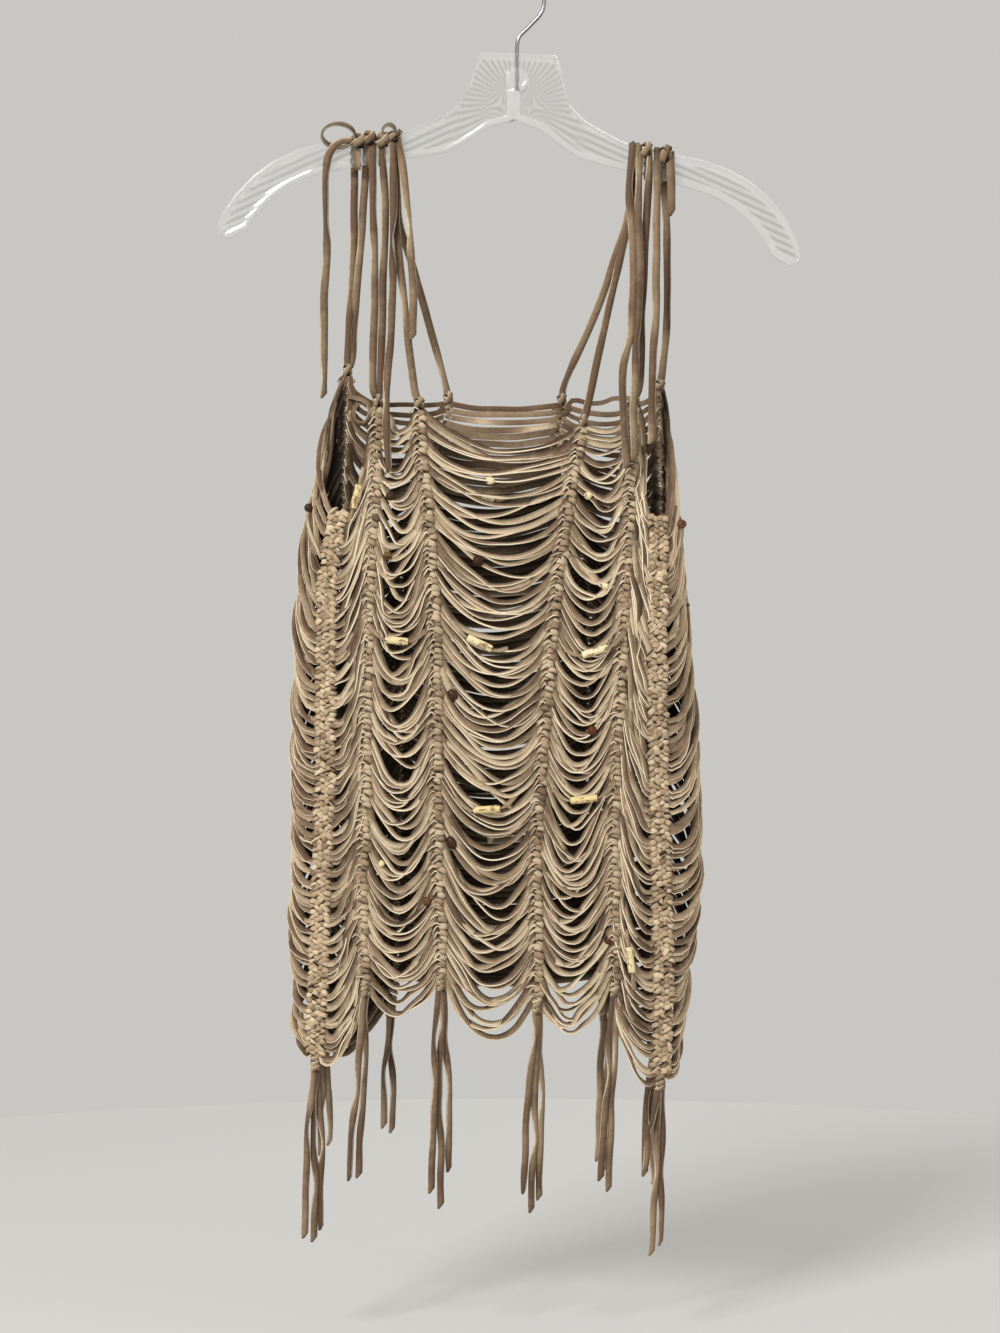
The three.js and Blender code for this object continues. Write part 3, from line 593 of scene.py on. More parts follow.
# %% [markdown]
# ## The knots of a column
# Where a lace crosses a column it is looped round and pulled tight. That leaves an arch with a hollow under
# it on the left, dark with real shade and with painted shade, and a small hard pad on the right, each over
# the next one like a roof tile. Both are a lace section carried over a small arch, and each one is turned by
# a few degrees.

# %% Kinds of pad
# A knot's arch as across, through, cut edge showing and depth; the depth paints shade on its inner side
KNOT_SECTION = np.array([
    (-0.50, -0.25, 0.3, 0.9), (-0.34, -0.50, 0.1, 0.6), (0.34, -0.50, 0.2, 0.1), (0.50, -0.25, 0.7, 0.0),
    (0.50, 0.25, 0.7, 0.0), (0.34, 0.50, 0.1, 0.0), (-0.34, 0.50, 0.0, 0.5), (-0.50, 0.25, 0.3, 0.9),
])
# The same for pads, with painted shade all round where they press against each other
PAD_SECTION = np.array([
    (-0.50, -0.20, 0.1, 1.0), (-0.34, -0.50, 0.1, 0.1), (0.34, -0.50, 0.2, 0.0), (0.50, -0.20, 0.4, 0.6),
    (0.50, 0.20, 0.4, 0.6), (0.34, 0.50, 0.2, 0.0), (-0.34, 0.50, 0.1, 0.1), (-0.50, 0.20, 0.1, 1.0),
])
KNOT_STATIONS = 7
# A kind of pad: its place across, half its span, how far it stands out, its height, thickness and peak in
# millimetres, its lean in degrees, how unevenly it lies, its tilt as a slope, its shift down in rows, how it
# narrows towards its ends, how far it may sit from its place in millimetres, its tone and its section
Pad = namedtuple("Pad", "aside half_span rise height thick peak lean uneven "
                        "tilt shift taper loose tone section")
COLUMN_PADS = [
    Pad(-2.8, 3.6, 2.6, 4.0, 1.3, 2.8, 32, 0.22, 0.4, 0.0, 0.3, 0.7, 0.6, KNOT_SECTION),
    Pad(1.2, 2.5, 3.0, 4.8, 2.6, 0.8, 64, 0.20, -0.4, 0.3, 0.3, 0.7, 0.8, PAD_SECTION),
]

# %% Pads down a column
def add_knots(parts, column, rows, pad, deep=1.0):
    """Arched pads down a column. Across it, t runs from -1 to 1 and a pad stands rise * (1 - t ** 4) out and
    peak * (1 - |t| ** 1.5) up, and narrows by taper * t ** 2."""
    down = (np.arange(rows) + 0.5 + pad.shift) / rows
    t = np.linspace(-1, 1, KNOT_STATIONS)[None, :]
    own = rng.normal(size=(6, rows, 1))
    across = pad.aside + pad.loose * own[0] + pad.half_span * t * (1 + 0.15 * own[1])
    z = column_height(column, down)[:, None] + 0.8 * pad.loose * own[2]
    z = z + (pad.tilt + pad.uneven * own[3]) * pad.half_span * t
    z = z + pad.peak * (1 + 0.35 * own[4]) * (1 - np.abs(t) ** 1.5)
    x = at_height(COLUMNS[column].run, z, 1) + across
    out = NET_DEPTH + pad.rise * (1 - t ** 4) + 0.6 * pad.loose * own[5]
    centres, outward = ring_place(z, ring_angle(x, z, COLUMNS[column].front), out)
    turn = np.radians(pad.lean + 60 * pad.uneven * rng.normal(size=(rows, 1))) + 0 * z
    wide, thin = lace_frame(centres, outward, turn)
    narrow = (1 - pad.taper * t ** 2)[..., None] * MM * rng.uniform(0.85, 1.15, size=(rows, 1, 1))
    parts.add_laces(centres * MM, wide * pad.height * narrow, thin * pad.thick * narrow,
                    pad.tone + 0.25 * rng.normal(size=rows), pad.section, deep)


def column_knots(name, columns, deep):
    """All pads of some columns. deep is the share of the painted shade in their hollows that is put on."""
    parts = Parts()
    for column in columns:
        for pad in COLUMN_PADS:
            add_knots(parts, column, ROWS, pad, deep)
    return parts.to_object(name, suede)

# %% Both nets and their columns
def net(name, panels):
    """All laces of one net, and their middle lines as one array of rows by stations."""
    parts = Parts()
    lines = [add_panel(parts, panel) for panel in panels]
    return parts.to_object(name, suede), np.concatenate(lines, axis=1)


front_laces, front_lines = net("front_laces", FRONT_PANELS)
back_laces, back_lines = net("back_laces", BACK_PANELS)
front_knots = column_knots("front_knots", ("front_1", "front_2", "front_3", "front_4"), 1.0)
back_knots = column_knots("back_knots", ("back_1", "back_2", "back_3", "back_4"), 0.5)

# %% [markdown]
# ## The plaited side seams
# At each side the laces of front and back meet in a plait about 15 mm wide: four lines of hard little
# pads, leaning against each other, paler because the lace's inner side shows.

# %% Side seams
PLAIT_ROWS = 98
PLAIT_PAD = Pad(0.0, 2.1, 2.5, 4.4, 2.5, 0.2, 78, 0.4, 0.0, 0.0, 0.2, 0.6, 0.6, PAD_SECTION)
# Place across, tilt and shift down of each line of pads
PLAIT_LINES = [(-4.9, 0.5, 0.0), (-1.7, -0.5, 0.5), (1.7, 0.5, 0.15), (4.9, -0.5, 0.6)]


def side_seam(name):
    """One plait, made of its lines of pads."""
    parts = Parts()
    for aside, tilt, shift in PLAIT_LINES:
        add_knots(parts, name, PLAIT_ROWS, PLAIT_PAD._replace(aside=aside, tilt=tilt, shift=shift))
    return parts.to_object(name + "_plait", suede_pale)


seam_left = side_seam("seam_left")
seam_right = side_seam("seam_right")

# %% [markdown]
# ## Laces that hang by themselves
# Straps, free ends and tails are single laces along a drawn line. A smooth curve goes through a few
# points, and the lace twists slowly as it hangs.

# %% Free laces
def smooth_curve(points, count):
    """A smooth curve through points, sampled evenly by length: cubic pieces, and the slope at each point is
    that of the chord between its two neighbours."""
    points = np.asarray(points, float)
    steps = np.linalg.norm(np.diff(points, axis=0), axis=1)
    place = np.concatenate([[0], np.cumsum(steps)])
    slopes = np.empty_like(points)
    slopes[1:-1] = (points[2:] - points[:-2]) / (place[2:] - place[:-2])[:, None]
    slopes[0] = (points[1] - points[0]) / steps[0]
    slopes[-1] = (points[-1] - points[-2]) / steps[-1]
    where = np.linspace(0, place[-1], count)
    k = np.clip(np.searchsorted(place, where) - 1, 0, len(steps) - 1)
    h = steps[k][:, None]
    t = ((where - place[k]) / steps[k])[:, None]
    return ((2 * t ** 3 - 3 * t ** 2 + 1) * points[k] + (t ** 3 - 2 * t ** 2 + t) * h * slopes[k]
            + (3 * t ** 2 - 2 * t ** 3) * points[k + 1] + (t ** 3 - t ** 2) * h * slopes[k + 1])


# A free lace turns back and forth in three waves: their lengths over 2 pi in millimetres, and their shares
SWING_LENGTHS = np.array([30.0, 14.0, 7.5])
SWING_SHARES = np.array([0.8, 0.6, 0.35])
# The width that is left at a free end, which is cut at a slant
SLANTED_END = 0.3
STATION_STEP = 4


def add_free_lace(parts, points, turn=0.0, twist=0.3, width=4.8, tone=None, wobble=0.5):
    """One lace through points given as (x, y, z) in millimetres. turn is the angle of its face from facing
    the viewer, in degrees, and twist how far it turns back and forth along its length, in radians."""
    length = np.linalg.norm(np.diff(np.asarray(points, float), axis=0), axis=1).sum()
    count = max(8, int(length / STATION_STEP))
    centres = smooth_curve(points, count)
    along = np.linspace(0, 1, count)
    waves = along * length / SWING_LENGTHS[:, None] + rng.uniform(0, 2 * np.pi, size=(3, 1))
    swing = SWING_SHARES @ np.sin(waves)
    centres[:, 0] += wobble * swing * np.sin(np.pi * along) ** 0.5
    run = unit(np.gradient(centres, axis=0))
    facing = np.array([0.0, -1.0, 0.0])
    side = unit(np.cross(run, facing))
    front = unit(np.cross(side, run))
    angle = np.radians(turn) + twist * swing
    wide = side * np.cos(angle)[:, None] + front * np.sin(angle)[:, None]
    thin = unit(np.cross(run, wide))
    # The tone rises and falls with the lace's turn: painted light and shade of its twist
    shade = (rng.uniform(0.0, 0.5) if tone is None else tone) + 0.22 * swing
    centres[-1] += SLANTED_END * width * wide[-1]
    wide[-1] *= SLANTED_END
    parts.add_laces(centres[None] * MM, wide[None] * width * MM, thin[None] * LACE_THICKNESS, shade,
                    FREE_SECTION)

# %% [markdown]
# ## The line of the hanger's arms
# Everything that is tied to the hanger needs the line of its upper and under edge, so both are drawn before
# the bar itself is made. They are given for the right half, mirrored, and tilted as the hanger hangs.

# %% The hanger's arm
HANGER_TILT = np.radians(-2.8)
HANGER_PIVOT_Z = -100.0
HANGER_TOP = [(0, -75), (28, -75.5), (32.5, -89), (39.5, -112), (52, -123.5), (72, -133.5), (86, -139.5),
              (118, -145), (140, -148), (160, -154), (178, -163), (194, -176), (206, -190), (214, -203),
              (216.5, -211)]
HANGER_UNDER = [(0, -125), (20, -131), (37, -143.5), (50, -151), (86, -158.5), (122, -166), (150, -173.5),
                (166, -182), (181, -194), (191, -207), (196, -216), (207, -222)]
HANGER_THICKNESS = 8.0


def tilted(half):
    """The whole edge from left to right, after the hanger's small turn about its pivot."""
    half = np.asarray(half, float)
    whole = np.concatenate([(half[1:] * (-1, 1))[::-1], half])
    x, z = whole[:, 0], whole[:, 1] - HANGER_PIVOT_Z
    cos, sin = np.cos(HANGER_TILT), np.sin(HANGER_TILT)
    return np.stack([x * cos - z * sin, HANGER_PIVOT_Z + x * sin + z * cos], axis=1)


UPPER_EDGE = tilted(HANGER_TOP)
UNDER_EDGE = tilted(HANGER_UNDER)


def arm_top(x):
    """The height of the arm's upper edge at a place across."""
    return np.interp(x, *UPPER_EDGE.T)


print("hanger's span in mm:", round(np.ptp(UPPER_EDGE[:, 0]), 1))

# %% [markdown]
# ## Straps
# From the head of each column one or two laces run up to the hanger. A small hard knot sits on the head. The
# front's laces end under the knots on the arm, and the back's come over the arm from behind.

# %% Ball knot
KNOT_RADIUS = 4.0
# The three windings of a pulled knot: their turns about two axes, in radians
WINDINGS = [(0.5, 0.0), (-0.6, 0.7), (0.1, -0.8)]


def add_ball_knot(parts, centre, radius, tone=0.6, tall=1.0):
    """A pulled knot: three short laces wound over each other round one centre, on tilted circles, the whole
    drawn out tall times in height and as much narrower."""
    circle = np.linspace(0, 2 * np.pi, 15)
    for winding, tips in enumerate(WINDINGS):
        tip, swing = np.asarray(tips) + rng.uniform(-0.3, 0.3, size=2)
        flat = np.stack([np.cos(circle), 0.8 * np.sin(circle), 0 * circle], axis=1)
        tilt_x = np.array([[1, 0, 0], [0, np.cos(tip), -np.sin(tip)], [0, np.sin(tip), np.cos(tip)]])
        tilt_y = np.array([[np.cos(swing), 0, np.sin(swing)], [0, 1, 0], [-np.sin(swing), 0, np.cos(swing)]])
        rotate = tilt_y @ tilt_x
        line = flat * radius * (0.72 + 0.1 * winding) @ rotate.T
        line = line * (tall ** -0.5, tall ** -0.5, tall) + np.asarray(centre)
        wide = np.broadcast_to(rotate[:, 2], line.shape)
        thin = unit(np.cross(unit(np.gradient(line, axis=0)), wide))
        parts.add_laces(line[None] * MM, wide[None] * 0.95 * radius * MM, thin[None] * 1.7 * MM,
                        [np.clip(tone + 0.15 * rng.normal(), 0, 1)], KNOT_SECTION)

# %% Loose laces of the back's top edge
# Each lace as (across, behind the middle, height)
LOOSE_LACES = [
    [(31, 12, -338), (34.5, 11, -343.5), (39, 10.5, -341), (38.8, 11, -335.5), (43, 12, -332.2),
     (54, 12, -334.4), (64, 12, -334), (71.5, 12, -331), (80, 12, -330.7), (92, 12, -331)],
    [(-127, 4, -330), (-120, 3, -331), (-111.5, 3, -335), (-109.5, 3, -343), (-114, 3, -351),
     (-121, 4, -349), (-122.5, 5, -340), (-117, 6, -334), (-108, 9, -336)],
]
parts = Parts()
for points in LOOSE_LACES:
    add_free_lace(parts, points, turn=20, twist=0.3, width=3.6, tone=0.15, wobble=0.2)
loose_laces = parts.to_object("loose_laces", suede)

# %% Straps
SEAM_GAP = 0.3
STRAP_WIDTH = 5.8
# Column, depth at the hanger, and the laces seen from the front
STRAPS = {
    "back_1": (7.4, [[(-121.6, -150), (-122, -208), (-124, -251), (-126.5, -300)],
                     [(-112.6, -150), (-116, -203), (-120, -250), (-123, -300)]]),
    "front_1": (-7.4, [[(-107.4, -152), (-106.5, -207), (-106, -260), (-107, -325)],
                       [(-100, -152), (-98, -192), (-99.5, -240), (-101.5, -325)]]),
    "front_2": (-7.4, [[(-90.5, -150), (-88.5, -214), (-84, -262), (-76, -327)]]),
    "back_2": (7.4, [[(-92, -150), (-86.5, -203), (-76.8, -236.5), (-53.5, -321)]]),
    "back_3": (7.4, [[(91, -156), (84, -190), (62, -259), (35, -322)]]),
    "front_3": (-7.4, [[(90, -156), (86, -192), (71, -251), (52, -340)]]),
    "front_4": (-7.4, [[(98.5, -158), (95, -222), (93, -270), (91, -324)]]),
    "back_4": (7.4, [[(109.7, -160), (112.4, -220), (112.4, -270), (108.5, -312)]]),
}
straps = []
for column, (depth, laces) in STRAPS.items():
    parts = Parts()
    knot = column_end(column, 0) + (0, 0, SEAM_GAP + KNOT_RADIUS)
    add_ball_knot(parts, knot, KNOT_RADIUS, tall=1.3)
    for lace in laces:
        (x, top), foot = lace[0], lace[-1][1]
        if depth > 0:
            over = [(x, 4, arm_top(x) + 1.2), (x, depth, arm_top(x) - 2)]
        else:
            over = [(x, depth, arm_top(x) - 3)]
        line = [(x, depth + (knot[1] - depth) * (z - top) / (foot - top), z) for x, z in lace]
        add_free_lace(parts, over + line + [knot - (0, 0, 1)], twist=0.5, wobble=0.6, width=STRAP_WIDTH)
    straps.append(parts.to_object("strap_laces_" + column, suede))

# %% [markdown]
# ## Shoulder ties
# On each arm of the hanger four turns of lace are pulled over it and knotted in front. Their free ends
# hang down before the straps, and one is left as a bow's loop.

# %% The ties' places
TIES = {
    "shoulder_tie_left": {
        "turns": [-119, -110, -101, -92],
        "knots": [-118, -108.5, -100, -93],
        "twist": 0.8,
        "ends": [
            [(-121, -9, -140), (-133, -10, -143), (-141, -10, -156), (-141, -10, -214), (-143.2, -10, -259),
             (-143.4, -10, -333)],
            [(-93, -9, -142), (-92, -12.5, -165), (-91.5, -13, -207), (-94, -17, -290), (-97, -22, -333),
             (-94.7, -25, -389)],
            [(-88, -9, -142), (-84.5, -12.5, -165), (-80, -12.5, -214), (-77, -13.5, -250),
             (-77.6, -14.5, -290)],
        ],
        "bows": [(-132.5, -138, 12.5, 10), (-95, -135, 5, 6)],
    },
    "shoulder_tie_right": {
        "turns": [88, 97, 106, 115],
        "knots": [96.5, 112],
        "twist": 0.5,
        "ends": [
            [(86, -9, -146), (83.5, -12.5, -184), (86, -13, -229), (84, -16, -281), (78.5, -19, -311),
             (81, -24, -386)],
            [(91, -9, -146), (89.5, -12.5, -184), (91, -13, -235), (88.5, -17, -300), (85.5, -22, -340),
             (87, -25, -380)],
            [(104.4, -9, -148), (103, -12.5, -200), (102.9, -13, -251), (100.7, -17, -318),
             (99.2, -21, -368)],
            [(114, -9, -150), (114.5, -12.5, -165), (114.8, -12.5, -198)],
        ],
        "bows": [],
    },
}


# A bow's loop: how far in front of the hanger's middle, and how far its band is tilted to show its face
BOW_DEPTH = -11.0
BOW_TILT = np.radians(38)
# How far a turn's middle line keeps off the arm's edges and its faces
OFF_EDGE = 1.7
OFF_FACE = 1.5
# How far a knot's middle lies before the arm's face and under its top, and the width of the free ends
KNOT_BEFORE = 4.3
KNOT_UNDER = 3.0
TIE_WIDTH = 6.0

# %% Bands, turns and bows
def add_band(parts, line, across, tone):
    """A lace along a line, its width in the given directions once they are square to the line."""
    run = unit(np.gradient(line, axis=0))
    across = unit(across - run * np.sum(across * run, axis=1, keepdims=True))
    parts.add_laces(line[None] * MM, across[None] * LACE_WIDTH,
                    unit(np.cross(run, across))[None] * LACE_THICKNESS, [tone], FREE_SECTION)


def add_turn(parts, x):
    """One turn round the arm: a rounded box line at x, where |cos| ** 6 + |sin| ** 6 = 1."""
    high, low = arm_top(x) + OFF_EDGE, np.interp(x, *UNDER_EDGE.T) - OFF_EDGE
    angle = np.linspace(0, 2 * np.pi, 41)
    cos, sin = np.cos(angle), np.sin(angle)
    reach = (np.abs(cos) ** 6 + np.abs(sin) ** 6) ** (-1 / 6)
    line = np.stack([x + 0 * angle, (HANGER_THICKNESS / 2 + OFF_FACE) * reach * cos,
                     (high + low) / 2 + (high - low) / 2 * reach * sin], axis=1)
    add_band(parts, line, np.broadcast_to([1.0, 0.0, 0.0], line.shape), rng.uniform(0.3, 0.8))


def add_bow(parts, x, z, half_wide, half_high):
    """A bow's loop: an oval line leaned back, its band turned to show its face."""
    angle = np.linspace(0, 2 * np.pi, 33)
    tilt = BOW_TILT + 0.25 * np.sin(2 * angle)
    up = half_high * np.sin(angle)
    line = np.stack([x + half_wide * np.cos(angle), BOW_DEPTH - up * np.sin(BOW_TILT),
                     z + up * np.cos(BOW_TILT)], axis=1)
    add_band(parts, line, np.stack([0 * angle, np.cos(tilt), np.sin(tilt)], axis=1), 0.3)

# %% The ties
def shoulder_tie(name, turns, knots, twist, ends, bows):
    """One tie: its turns, its knots before the arm's top, its free ends that come over the arm, its bows."""
    parts = Parts()
    for x in turns:
        add_turn(parts, x)
    for x in knots:
        knot = (x + rng.uniform(-1.5, 1.5), -HANGER_THICKNESS / 2 - KNOT_BEFORE,
                arm_top(x) - KNOT_UNDER + rng.uniform(-2, 2))
        add_ball_knot(parts, knot, rng.uniform(4.4, 6.2), tone=0.4, tall=rng.uniform(0.9, 1.5))
    for points in ends:
        x = points[0][0]
        over = [(x, 2, arm_top(x) + 1.6), (x, -4, arm_top(x) + 1.4), (x, -7.5, arm_top(x) - 2)]
        add_free_lace(parts, over + points[1:], twist=twist, wobble=1.0, width=TIE_WIDTH)
    for bow in bows:
        add_bow(parts, *bow)
    return parts.to_object(name + "_laces", suede)


ties = {name: shoulder_tie(name, **tie) for name, tie in TIES.items()}

# %% [markdown]
# ## Tails
# Below its last knot each column's laces hang as a tail. A short wrapping holds them and they spread and
# curl a little on the way down.

# %% Tails
TAILS = {
    "seam_left": [(-157.4, -955.6), (-150.7, -958.6), (-145.6, -950.4)],
    "front_1": [(-123.8, -911.6), (-117.1, -909.8)],
    "front_2": [(-63.4, -919.8), (-56.4, -931.4), (-50.4, -905)],
    "front_3": [(4.5, -920.6), (10.3, -934.7), (16.2, -925.8)],
    "front_4": [(61.4, -911.6), (67.4, -919.8)],
    "seam_right": [(94.7, -905.6), (99.4, -968.8), (105.9, -961.6)],
    "back_4": [(96, -915), (102, -921)],
    "back_3": [(61, -905), (67, -912)],
    "back_2": [(-100.3, -880.3), (-94.4, -883.9)],
    "back_1": [(-147, -899), (-141, -892)],
}
TAIL_KNOT_RADIUS = 3.6
TAIL_KNOT_DROPS = (3.5, 0.0, -3.5)
TAIL_HEAD_DROP = 7.0
KNEE_DROP = 30.0
TAIL_WIDTH = 5.2


def tail_line(head, fan, x, z):
    """A tail's lace from its head to its end at (x, z). fan is its place among the tail's laces: they stand
    side by side in the wrapping, and each strays a fifth of its way at the knee and half of it below."""
    knee, low = head[0] + 2.2 * fan, head[0] + 3 * fan
    behind = head[1] + 2.2 * fan
    return [head + (1.2 * fan, 0, 0),
            (knee + 0.2 * (x - knee), head[1] + 1.7 * fan, head[2] - KNEE_DROP),
            (low + 0.55 * (x - low), behind, (head[2] + z) / 2),
            (x, behind, z)]


tails = []
for column, ends in TAILS.items():
    parts = Parts()
    head = column_end(column, 1) - (0, 0, SEAM_GAP + TAIL_HEAD_DROP)
    for drop in TAIL_KNOT_DROPS:
        add_ball_knot(parts, head + (0, 0, drop), TAIL_KNOT_RADIUS)
    for number, (x, z) in enumerate(ends):
        fan = number - (len(ends) - 1) / 2
        add_free_lace(parts, tail_line(head, fan, x, z), twist=0.8, wobble=1.5, width=TAIL_WIDTH)
    tails.append(parts.to_object("tail_laces_" + column, suede))

# %% [markdown]
# ## Beads
# Bone tubes and small round beads are threaded on some of the laces. Each is a profile turned round the
# lace's line, closed through its bore. Points carry their place in the bead's own frame, so the streaks of
# bone and the grain of wood run along every bead whichever way it lies.

# %% Bead materials
# Colour stops over the bead's tone, and each material's streaks
BONE_STOPS = [(0.0, (0.76, 0.59, 0.27)), (1.0, (0.86, 0.75, 0.47))]
BONE_STREAK = (0.20, 0.10, 0.035)
# Dark, brown, reddish, amber
WOOD_STOPS = [(0.0, (0.03, 0.012, 0.005)), (0.33, (0.09, 0.036, 0.013)), (0.66, (0.13, 0.03, 0.012)),
              (1.0, (0.17, 0.088, 0.03))]
WOOD_STREAK = (0.02, 0.009, 0.005)


def streaked_material(name, stops, streak_colour, streak_amount, roughness, coat):
    """A polished bead: tone picks the colour, and streaks run along the bead's own X axis."""
    material, tree, shader = new_material(name, Coat_Weight=coat, Coat_Roughness=0.15, Specular_IOR_Level=0.2)
    own = attribute(tree, "own", output=1)
    stretch = node(tree, "ShaderNodeVectorMath", {"operation": "MULTIPLY"}, {0: own, 1: (0.11, 1.0, 1.0)})
    grain = noise(tree, stretch, 0.62, 2.5, 0.6)
    marks = noise(tree, own, 0.3, 1.0, 0.5)
    base = node(tree, "ShaderNodeValToRGB", {"stops": stops}, {0: attribute(tree, "tone")})
    streak = rise(tree, grain * 0.7 + marks * 0.5, 0.62, 0.68, 0.0, streak_amount)
    drive(tree, shader, "Base Color", mix_colours(tree, streak, base, streak_colour))
    drive(tree, shader, "Roughness", grain * 0.25 + (roughness - 0.1))
    drive_bump(tree, shader, grain, 0.4, 0.0003)
    return material


bone = streaked_material("bone", BONE_STOPS, BONE_STREAK, 0.85, 0.38, 0.3)
wood = streaked_material("wood", WOOD_STOPS, WOOD_STREAK, 0.8, 0.42, 0.06)
print("materials:", bone.name, wood.name)

# %% Turned beads
BEAD_SIDES = 20
BONE_RADIUS = 2.8
BONE_BORE = 1.0
ROUND_BORE = 0.9


def ring_faces(around, sides):
    """Quads of a grid that closes on itself both ways."""
    first = np.arange(around)[:, None]
    second = np.arange(sides)[None, :]
    after, beside = (first + 1) % around, (second + 1) % sides
    return np.stack([first * sides + second, after * sides + second, after * sides + beside,
                     first * sides + beside], axis=-1).reshape(-1, 4)


def winding(points, quads):
    """The order in which to read each face's corners, 1 or -1, so that the closed form's faces point out:
    the sum of its signed corner volumes is then positive."""
    a, b, c, d = (points.reshape(-1, 3)[quads[:, k]] for k in range(4))
    volume = np.sum(np.cross(b - a, c - a) * a) + np.sum(np.cross(c - a, d - a) * a)
    return 1 if volume > 0 else -1


def add_bead(parts, centre, axis, profile, tone):
    """A closed profile of (along, radius) in millimetres turned round axis at centre."""
    profile = np.asarray(profile, float)
    along, radius = profile[:, :1], profile[:, 1:]
    angle = np.linspace(0, 2 * np.pi, BEAD_SIDES, endpoint=False)[None, :]
    own = np.stack([along + 0 * angle, radius * np.cos(angle), radius * np.sin(angle)], axis=-1)
    axis = unit(np.asarray(axis, float))
    side = unit(np.cross(axis, (0.0, 1.0, 0.1)))
    points = (own @ np.stack([axis, side, np.cross(axis, side)]) + centre) * MM
    quads = ring_faces(len(profile), BEAD_SIDES)
    parts.add(points, [quads[:, ::winding(points, quads)]], tone=tone, own=own + 37 * tone)


def tube_profile(length):
    """A bone tube: slightly barrelled, its ends rounded, closed through the bore."""
    half = length / 2
    outer = [(-half, 0.72), (-half + 0.25, 0.9), (-half + 0.9, 0.97), (-half / 2, 1.0), (0, 0.985),
             (half / 2, 1.0), (half - 0.9, 0.97), (half - 0.25, 0.9), (half, 0.72)]
    return [(x, r * BONE_RADIUS) for x, r in outer] + [(half, BONE_BORE), (0, BONE_BORE), (-half, BONE_BORE)]


def ball_profile(radius, stretch=1.0):
    """A round bead: half a circle from bore to bore, closed by the bore's wall."""
    edge = np.arcsin(ROUND_BORE / radius)
    angle = np.linspace(edge, np.pi - edge, 11)
    outer = [(-stretch * radius * np.cos(a), radius * np.sin(a)) for a in angle]
    return outer + [(0.0, ROUND_BORE)]

# %% Bone tubes and their laces
# Centre across and height, length, turn down to the right in degrees, inside the back or not, tone
BONE_TUBES = [
    (-27.6, -515, 20, 26, False, 0.7), (-88.3, -513, 17, 6, False, 0.5), (56.7, -521, 20, -16, False, 0.9),
    (-22.4, -637, 20, -5, False, 0.2), (48.5, -629.6, 20, -6, False, 0.1),
    (-118.2, -406.5, 18, 104, False, 0.4), (82.4, -748, 19, 82, False, 0.6),
    (-25.5, -404.5, 18, 18, True, 0.8),
]
NET_WALL = 2.0
CLEAR_BY = BONE_RADIUS + 2 * SEAM_GAP

# %% Threads and bone tubes
def thread_lace(parts, centre, axis, half):
    """A bone tube's lace: squeezed in the bore, flat again 8 mm on, and back into the net at its ends."""
    rising = np.array([0.0, 0.0, 11.0]) * (1 - abs(axis[2]))
    dip = np.array([0.0, 1.0, 0.0])
    ends = axis * (half + 13)
    bends = axis * (half + 5)
    line = [centre - ends + 4.4 * dip + rising, centre - bends + 0.8 * dip + 0.22 * rising,
            centre - axis * half, centre + axis * half,
            centre + bends + 0.8 * dip + 0.22 * rising, centre + ends + 4.4 * dip + rising]
    line = smooth_curve(line, 40)
    open_up = np.clip((np.abs((line - centre) @ axis) - half) / 8, 0, 1)[:, None]
    run = unit(np.gradient(line, axis=0))
    side = unit(np.cross(run, (0.0, -1.0, 0.0)))
    parts.add_laces(line[None] * MM, side[None] * (1.5 + 2.0 * open_up) * MM,
                    unit(np.cross(run, side))[None] * (0.9 + 0.4 * open_up) * MM, [0.7], FREE_SECTION)


bone_tubes = []
threads = Parts()
for number, (x, z, length, turn, inside, tone) in enumerate(BONE_TUBES, start=1):
    lift = BACK_BULGE - NET_WALL - CLEAR_BY if inside else FRONT_BULGE + CLEAR_BY
    z = np.array([z])
    centre = ring_place(z, ring_angle(np.array([x]), z, not inside), np.array([lift]))[0][0]
    axis = np.array([np.cos(np.radians(turn)), 0.0, -np.sin(np.radians(turn))])
    parts = Parts()
    add_bead(parts, centre, axis, tube_profile(length), tone)
    bone_tubes.append(parts.to_object(f"bone_tube_{number}_turned", bone))
    thread_lace(threads, centre, axis, length / 2)
bone_laces = threads.to_object("bone_tube_threads", suede)

# %% Round beads on the nearest laces
# Place across and height, radius, stretch along the lace, front side or not, tone
CREAM_BEADS = [(-20.9, -393, 3.2, 1.1, True, 0.9), (50.7, -408.8, 3.1, 1.0, True, 0.8),
               (63.3, -473, 3.0, 1.0, True, 0.9), (-100.9, -674.9, 2.8, 1.0, True, 0.6),
               (-21.6, -662, 2.9, 1.0, False, 0.8), (-163, -622, 2.7, 1.6, False, 0.3)]
WOOD_BEADS = [(-30.2, -456.6, 4.2, 1.0, True, 0.05), (-50, -551.9, 3.6, 1.5, True, 0.1),
              (-50, -662.5, 3.5, 1.5, True, 0.1), (-97, -449.8, 3.3, 1.0, True, 0.95),
              (-91, -405, 3.5, 1.0, True, 0.1), (53.3, -577.9, 3.6, 1.0, True, 0.5),
              (-66.4, -707.2, 3.3, 1.0, True, 0.9), (67.1, -735.6, 3.5, 1.0, True, 0.35),
              (127.9, -487.9, 2.7, 1.0, False, 0.05)]
# Beads that stand out at the body's edge: radius, tone, and the points of their lace, the bead on the third
EDGE_BEADS = [
    (3.3, 0.1, [(-143, 2, -388), (-151, -3, -403), (-155, -6, -414.0), (-155, -9, -428), (-145, -15, -452)]),
    (3.6, 0.9, [(113, 4, -404), (119, -2, -417), (122.5, -5, -426), (122, -7, -438), (113.5, -14, -462)]),
]


